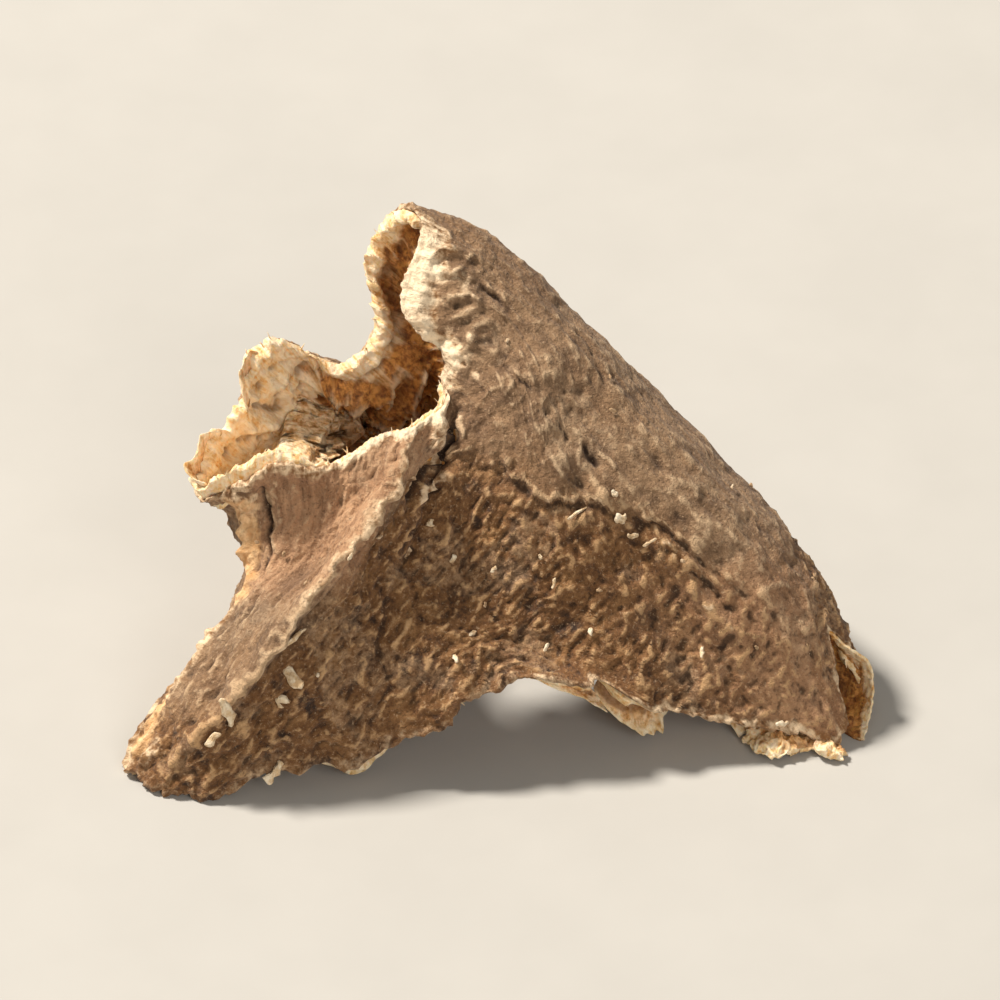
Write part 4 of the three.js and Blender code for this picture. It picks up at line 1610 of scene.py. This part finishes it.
def loose_masks(points: Array, seed: int) -> dict[str, Array]:
    """The masks of a loose piece, which has the look of a torn edge and its own uneven relief.

    Args:
        points: (n, 3) in mm.
        seed: which random field.

    Returns:
        Arrays by mask name.
    """
    levels = {"edge": 0.7, "front": 0.3, "lower": 0.3}
    levels.update(dict.fromkeys(("facet", "peeled", "torn", "slit", "painted_light"), 0.0))
    masks = {name: np.full(len(points), level) for name, level in levels.items()}
    return {**masks, "relief": 2.5 * Noise.gradient(points, 0.3, seed), "grain": points}


def tone(red: int, green: int, blue: int) -> tuple[float, float, float, float]:
    """A colour as it looks on screen, 0 to 255 a channel, in the linear numbers that nodes take."""
    shares = (channel / 255 for channel in (red, green, blue))
    return (*(((c + 0.055) / 1.055) ** 2.4 if c > 0.04 else c / 12.92 for c in shares), 1.0)


# What a node's input takes is another node's output, a number or a colour.
Socket = bpy.types.NodeSocket
Value = Socket | float | tuple


class Recipe:
    """The node tree of one finish, with short calls for the nodes that finishes share."""

    def __init__(self, name: str) -> None:
        """Start a material with a plain shader.

        Args:
            name: the material's name.
        """
        self.material = bpy.data.materials.new(name)
        self.material.use_nodes = True
        self.tree = self.material.node_tree
        self.shader = self.tree.nodes["Principled BSDF"]
        self.place = self.tree.nodes.new("ShaderNodeTexCoord").outputs["Object"]

    def _feed(self, socket: Socket, value: Value) -> None:
        """Link a socket to another, or give it a plain value.

        Args:
            socket: the input to fill.
            value: another node's output, or a number or colour.
        """
        if isinstance(value, Socket):
            self.tree.links.new(value, socket)
        else:
            socket.default_value = value

    def mask(self, name: str) -> Socket:
        """A mask stored on the mesh.

        Args:
            name: the attribute's name.

        Returns:
            The mask as a number.
        """
        node = self.tree.nodes.new("ShaderNodeAttribute")
        node.attribute_name = name
        return node.outputs["Fac"]

    def along(self, stretch: float) -> Socket:
        """Places that follow the growth of the root, drawn out along it.

        Args:
            stretch: how many times longer a pattern gets along the root.

        Returns:
            The places.
        """
        node = self.tree.nodes.new("ShaderNodeAttribute")
        node.attribute_name = "grain"
        scale = self.tree.nodes.new("ShaderNodeVectorMath")
        scale.operation = "MULTIPLY"
        scale.inputs[1].default_value = (1.0, 1.0, 1.0 / stretch)
        self.tree.links.new(node.outputs["Vector"], scale.inputs[0])
        return scale.outputs["Vector"]

    def noise(self, size: float, at: Socket | None = None, detail: float = 3.0, rough: float = 0.6,
              bend: float = 0.0) -> Socket:
        """Cloudy noise.

        Args:
            size: distance over which it changes, in mm.
            at: places, or none for the piece's own.
            detail: how many finer layers it has.
            rough: how strong each finer layer is.
            bend: how far it is twisted.

        Returns:
            A number of about 0.3 to 0.7.
        """
        node = self.tree.nodes.new("ShaderNodeTexNoise")
        settings = {"Scale": 1 / (size * MM), "Detail": detail, "Roughness": rough, "Distortion": bend}
        for name, number in settings.items():
            node.inputs[name].default_value = number
        self.tree.links.new(at or self.place, node.inputs["Vector"])
        return node.outputs["Fac"]

    def span(self, value: Socket, low: float, high: float, start: float = 0.0, end: float = 1.0) -> Socket:
        """Ease a number from one range to another, held at both ends.

        Args:
            value: the number.
            low: where the start is reached; it may lie above the other end.
            high: where the end is reached.
            start: result at the low end.
            end: result at the high end.

        Returns:
            The new number.
        """
        node = self.tree.nodes.new("ShaderNodeMapRange")
        node.interpolation_type = "SMOOTHSTEP"
        self._feed(node.inputs["Value"], value)
        for name, number in (("From Min", low), ("From Max", high), ("To Min", start), ("To Max", end)):
            node.inputs[name].default_value = number
        return node.outputs["Result"]

    def sums(self, operation: str, a: Value, b: Value) -> Socket:
        """One sum of two numbers.

        Args:
            operation: which sum.
            a: the first number.
            b: the second number.

        Returns:
            The result.
        """
        node = self.tree.nodes.new("ShaderNodeMath")
        node.operation = operation
        self._feed(node.inputs[0], a)
        self._feed(node.inputs[1], b)
        return node.outputs["Value"]

    def plus(self, value: Value, other: Socket, share: float) -> Socket:
        """A number plus a share of another."""
        return self.sums("ADD", value, self.sums("MULTIPLY", other, share))

    def swing(self, noise: Socket) -> Socket:
        """How far a noise is from its middle."""
        return self.sums("SUBTRACT", noise, 0.5)

    def shades(self, value: Socket, *stops: tuple) -> Socket:
        """A colour ramp.

        Args:
            value: the number that picks the colour.
            stops: (place, colour) pairs.

        Returns:
            The colour.
        """
        node = self.tree.nodes.new("ShaderNodeValToRGB")
        ramp = node.color_ramp
        while len(ramp.elements) < len(stops):
            ramp.elements.new(1.0)
        for element, (place, colour) in zip(ramp.elements, stops):
            element.position = place
            element.color = colour
        self._feed(node.inputs["Fac"], value)
        return node.outputs["Color"]

    def over(self, share: Socket, below: Value, above: Value) -> Socket:
        """Lay one colour over another.

        Args:
            share: how far it covers, 0 to 1.
            below: the colour underneath.
            above: the colour on top.

        Returns:
            The mixed colour.
        """
        node = self.tree.nodes.new("ShaderNodeMix")
        node.data_type = "RGBA"
        for socket, value in zip((node.inputs[0], node.inputs[6], node.inputs[7]), (share, below, above)):
            self._feed(socket, value)
        return node.outputs[2]

    def lay(self, below: Value, above: Value, value: Socket, low: float, high: float, most: float,
            least: float = 0.0) -> Socket:
        """Lay one colour over another where a number goes from low to high.

        Args:
            below: the colour underneath.
            above: the colour on top.
            value: the number.
            low: where the cover begins.
            high: where it is at its most.
            most: the greatest share that it covers.
            least: the share that it covers elsewhere.

        Returns:
            The mixed colour.
        """
        return self.over(self.span(value, low, high, least, most), below, above)

    def bumps(self, *heights: tuple[Socket, float, float]) -> Socket:
        """Raise height fields one over the other.

        Args:
            heights: each field with its depth in mm and its strength.

        Returns:
            The normals.
        """
        normal = None
        for height, depth, strength in heights:
            node = self.tree.nodes.new("ShaderNodeBump")
            node.inputs["Distance"].default_value = depth * MM
            node.inputs["Strength"].default_value = strength
            self._feed(node.inputs["Height"], height)
            if normal:
                self._feed(node.inputs["Normal"], normal)
            normal = node.outputs["Normal"]
        return normal

    def dress(self, colour: Socket, roughness: Socket, normal: Socket, **constants: float) -> Finish:
        """Wire the shader, and give its other sockets their plain values.

        Args:
            colour: the base colour.
            roughness: the roughness.
            normal: the normals.
            constants: numbers of other sockets, with their names' spaces as underscores.

        Returns:
            The finished material.
        """
        for name, value in (("Base Color", colour), ("Roughness", roughness), ("Normal", normal)):
            self._feed(self.shader.inputs[name], value)
        for name, value in constants.items():
            self.shader.inputs[name.replace("_", " ")].default_value = value
        return self.material


@dataclass(frozen=True)
class CorkFinish:
    """Weathered cork: grey-beige where smooth, dark brown where broken and tan where torn, with painted
    shade in hollows and creases, painted highlights on crests and the near lip, and painted golden light on
    the left roll.

    Each layer's numbers in the recipe say where it begins, where it is full and the most that it covers.
    """

    pale: tuple = tone(154, 123, 92)
    grey: tuple = tone(131, 102, 74)
    shade: tuple = tone(99, 73, 49)
    brown: tuple = tone(114, 76, 41)
    warm: tuple = tone(142, 103, 64)
    dark: tuple = tone(50, 30, 14)
    pink: tuple = tone(198, 154, 116)
    pink_shade: tuple = tone(148, 108, 77)
    tan: tuple = tone(240, 210, 172)
    bright: tuple = tone(253, 231, 197)
    honey: tuple = tone(210, 154, 96)
    straw: tuple = tone(252, 212, 160)
    dust_and_highlight: tuple = tone(218, 186, 148)
    low_dust_and_highlight: tuple = tone(210, 168, 120)

    def make(self, name: str = "weathered_cork", dusty: float = 0.0) -> Finish:
        """Mix the tones by zone, paint shade, highlights and light by relief, creases and edges, then
        streak, speckle and bump them.

        Args:
            name: the material's name.
            dusty: how much pale dust lies over the whole piece.

        Returns:
            The material.
        """
        r = Recipe(name)
        relief, lower, torn = r.mask("relief"), r.mask("lower"), r.mask("torn")
        broad, middle = r.noise(3.0), r.noise(0.9, detail=4)
        fine, grit = r.noise(0.3, detail=4), r.noise(0.1, detail=4)
        streak = r.noise(0.45, at=r.along(6), detail=5, rough=0.65, bend=0.4)
        thread = r.noise(0.16, at=r.along(5), detail=3)
        speck = r.noise(0.13, detail=5, rough=0.7)
        fray = r.plus(r.sums("MULTIPLY", r.swing(streak), 1.6), r.swing(fine), 1.6)
        smooth_skin = r.shades(r.plus(middle, r.swing(streak), 0.5),
                               (0.3, self.shade), (0.47, self.grey), (0.68, self.pale))
        rough_skin = r.shades(r.plus(middle, r.swing(fine), 0.8),
                              (0.25, self.dark), (0.45, self.brown), (0.68, self.warm))
        facet_skin = r.shades(streak, (0.35, self.pink_shade), (0.62, self.pink))
        under_skin = r.shades(fine, (0.35, self.brown), (0.65, self.tan))
        bare_skin = r.shades(r.plus(0.5, fray, 0.32),
                             (0.32, self.brown), (0.43, self.warm), (0.57, self.tan))
        painted_light_skin = r.shades(r.plus(0.5, fray, 0.3), (0.38, self.honey), (0.6, self.straw))
        dust_and_highlight = r.over(lower, self.dust_and_highlight, self.low_dust_and_highlight)
        edge = r.sums("MAXIMUM", r.mask("edge"), r.sums("MAXIMUM", r.span(r.mask("front"), 0.2, 0.0), torn))
        skin = r.over(lower, smooth_skin, rough_skin)
        skin = r.lay(skin, facet_skin, r.mask("facet"), 0, 1, 0.85)
        skin = r.lay(skin, self.brown, broad, 0.38, 0.65, 0.25)
        skin = r.lay(skin, under_skin, r.mask("peeled"), 0, 1, 0.18)
        # Painted highlight with dust: the relief's crests are lightened; dusty lays the same pale tone
        # evenly over a whole piece.
        skin = r.lay(skin, dust_and_highlight, r.plus(relief, r.swing(fine), 3.0), 0.4, 2.2, 0.7, dusty)
        # Painted shade: the relief's hollows are darkened.
        skin = r.lay(skin, self.dark, relief, -0.4, -2.3, 0.75)
        # Painted shade: the slit mask darkens deep creases and the shaded patch on the facet.
        skin = r.lay(skin, self.dark, r.mask("slit"), 0.25, 0.9, 0.9)
        skin = r.lay(skin, self.dark, speck, 0.46, 0.36, 0.45)
        skin = r.lay(skin, self.dust_and_highlight, speck, 0.56, 0.66, 0.35)
        skin = r.lay(skin, bare_skin, r.plus(edge, fray, 0.6), 0.22, 1.0, 0.9)
        # Painted highlight: where the edge mask passes 1, mostly along the near lip, a near-white tone; on
        # the crumbs it is their own pale colour.
        skin = r.lay(skin, self.bright, r.plus(edge, fray, 0.7), 1.05, 1.8, 0.85)
        # Painted light: golden light laid on the rolled left edge and leg.
        skin = r.lay(skin, painted_light_skin, r.plus(r.mask("painted_light"), fray, 0.6), 0.2, 1.0, 0.85)
        normal = r.bumps((fine, 0.14, 0.9), (streak, 0.1, 0.8), (thread, 0.03, 0.6), (grit, 0.07, 1.0))
        roughness = r.span(middle, 0.3, 0.7, 0.72, 0.95)
        return r.dress(skin, roughness, normal, Specular_IOR_Level=0.35, Sheen_Weight=0.08)


@dataclass(frozen=True)
class BastFinish:
    """Golden inner bark: pale and fibrous at the torn edges, deep brown inside; painted shade lies in its
    hollows and painted highlights on its crests.
    """

    gold: tuple = tone(230, 163, 78)
    cream: tuple = tone(248, 213, 158)
    pale: tuple = tone(255, 236, 203)
    brown: tuple = tone(174, 108, 44)
    deep: tuple = tone(108, 64, 28)

    def make(self, name: str = "golden_bast", pale_share: float = 0.0) -> Finish:
        """Streak the tones along the strands, fade to pale at the edges, paint shade in hollows and
        highlights on crests.

        Args:
            name: the material's name.
            pale_share: how much of the pale tone lies over the whole piece.

        Returns:
            The material.
        """
        r = Recipe(name)
        relief = r.mask("relief")
        strand = r.noise(0.3, at=r.along(7), detail=5, rough=0.65, bend=0.5)
        thread = r.noise(0.1, at=r.along(6), detail=3)
        middle, fine = r.noise(0.8, detail=4), r.noise(0.22, detail=4)
        tangle = r.plus(r.plus(fine, r.swing(strand), 0.6), r.swing(middle), 0.6)
        wood = r.shades(tangle, (0.3, self.deep), (0.45, self.brown), (0.62, self.gold))
        fringe = r.shades(r.plus(strand, r.swing(fine), 0.7),
                          (0.26, self.gold), (0.42, self.cream), (0.6, self.pale))
        edge = r.plus(r.mask("edge"), r.swing(strand), 1.3)
        wood = r.lay(wood, fringe, edge, 0.1, 0.95, 0.92, 0.06 + pale_share)
        # Painted shade in the relief's hollows, and painted highlights on its crests.
        wood = r.lay(wood, self.deep, relief, -0.2, -2.2, 0.65)
        wood = r.lay(wood, self.pale, relief, 0.4, 2.2, 0.5)
        normal = r.bumps((fine, 0.16, 0.9), (strand, 0.07, 0.8), (thread, 0.02, 0.7))
        return r.dress(wood, r.span(middle, 0.3, 0.7, 0.6, 0.85), normal, Specular_IOR_Level=0.4,
                       Subsurface_Weight=0.08, Subsurface_Scale=0.0004)


@dataclass(frozen=True)
class FloorFinish:
    """A matt off-white board."""

    light: tuple = tone(182, 179, 173)
    dim: tuple = tone(179, 176, 170)

    def make(self) -> Finish:
        """Mottle two near whites very softly.

        Returns:
            The material.
        """
        r = Recipe("pale_board")
        cloud = r.noise(6.0)
        colour = r.shades(cloud, (0.35, self.dim), (0.65, self.light))
        normal = r.bumps((r.noise(0.4), 0.004, 0.3))
        return r.dress(colour, r.span(cloud, 0.3, 0.7, 0.8, 0.9), normal, Specular_IOR_Level=0.25)


@dataclass(frozen=True)
class Lamp:
    """A round soft lamp: its place and width in metres, its power in watts and its colour."""

    name: str
    place: tuple[float, float, float]
    width: float
    power: float
    colour: tuple[float, float, float]


@dataclass
class Studio:
    """The pale floor, the soft lights and the camera, in metres and degrees.

    The floor lies a hair below the part's lowest points, so that the two don't share a plane.
    """

    floor_side: float = 3.0
    floor_gap: float = 0.00002
    elevation: float = 40.0
    distance: float = 0.3
    lens: float = 300.0
    aim: tuple[float, float, float] = (0.0, 0.0, 0.0066)
    nearest: float = 0.01
    farthest: float = 10.0
    lamps: tuple[Lamp, ...] = (
        Lamp("key_light", (-0.48, 0.18, 0.75), 0.15, 14.2, (1.0, 0.94, 0.86)),
        Lamp("front_light", (0.36, -0.84, 0.6), 0.6, 4.0, (1.0, 0.965, 0.915)),
    )
    sky: float = 0.25
    sky_colour: tuple[float, float, float, float] = (1.0, 0.965, 0.9, 1.0)

    def _aimed(self, name: str, data: bpy.types.ID, place: Vector) -> bpy.types.Object:
        """Put a lamp or camera at a place, turned towards the aim.

        Args:
            name: the object's name.
            data: the lamp or camera.
            place: where it stands.

        Returns:
            The object.
        """
        holder = bpy.data.objects.new(name, data)
        holder.location = place
        holder.rotation_euler = (Vector(self.aim) - place).to_track_quat("-Z", "Y").to_euler()
        bpy.context.scene.collection.objects.link(holder)
        return holder

    def _lay_floor(self) -> None:
        """Make the floor, one square."""
        side = self.floor_side / 2
        corners = [(-side, -side, 0), (side, -side, 0), (side, side, 0), (-side, side, 0)]
        mesh = bpy.data.meshes.new("floor")
        mesh.from_pydata(corners, [], [(0, 1, 2, 3)])
        mesh.materials.append(FloorFinish().make())
        floor = bpy.data.objects.new("floor", mesh)
        floor.location.z = -self.floor_gap
        bpy.context.scene.collection.objects.link(floor)

    def _light(self) -> None:
        """Hang the lamps and light the sky evenly, with colours kept as they are."""
        for lamp in self.lamps:
            light = bpy.data.lights.new(lamp.name, "AREA")
            light.shape, light.size, light.energy, light.color = "DISK", lamp.width, lamp.power, lamp.colour
            self._aimed(lamp.name, light, Vector(lamp.place))
        world = bpy.data.worlds.new("soft_room")
        world.use_nodes = True
        backdrop = world.node_tree.nodes["Background"]
        backdrop.inputs["Color"].default_value = self.sky_colour
        backdrop.inputs["Strength"].default_value = self.sky
        bpy.context.scene.world = world
        bpy.context.scene.view_settings.view_transform = "Standard"

    def build(self) -> None:
        """Lay the floor, hang the lamps, and set the camera in front, looking down by the elevation."""
        self._lay_floor()
        self._light()
        camera = bpy.data.cameras.new("camera")
        camera.lens, camera.clip_start, camera.clip_end = self.lens, self.nearest, self.farthest
        tilt = math.radians(self.elevation)
        back = Vector((0.0, -math.cos(tilt), math.sin(tilt)))
        bpy.context.scene.camera = self._aimed("camera", camera, Vector(self.aim) + back * self.distance)


def main() -> None:
    """Build the shard, its loose bits and the studio, then note the size of the result."""
    logging.basicConfig(level=logging.INFO, format="%(name)s: %(message)s")
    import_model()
    form = BarkForm()
    cork, bast = CorkLayer(form), BastLayer(form)
    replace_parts(cork.build(CorkFinish().make()), NODE)
    golden = BastFinish().make()
    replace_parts(bast.build(golden), NODE)
    torn = BastFinish().make("torn_bast", pale_share=0.25)
    TornStrips(bast).build(torn)
    RimFibres(bast).build(torn)
    PithWeb(bast).build(golden)
    BarkCurl("end_curl", END_CURL).build(golden)
    BarkCurl("base_flap", BASE_FLAP, frayed=0.75, rough=2.2).build(torn)
    crumb = CorkFinish(tan=tone(255, 240, 212), warm=tone(222, 190, 146), brown=tone(180, 140, 96))
    LooseChips(cork).build(crumb.make("cork_crumb", dusty=0.35))
    Studio().build()


if __name__ == "__main__":
    main()
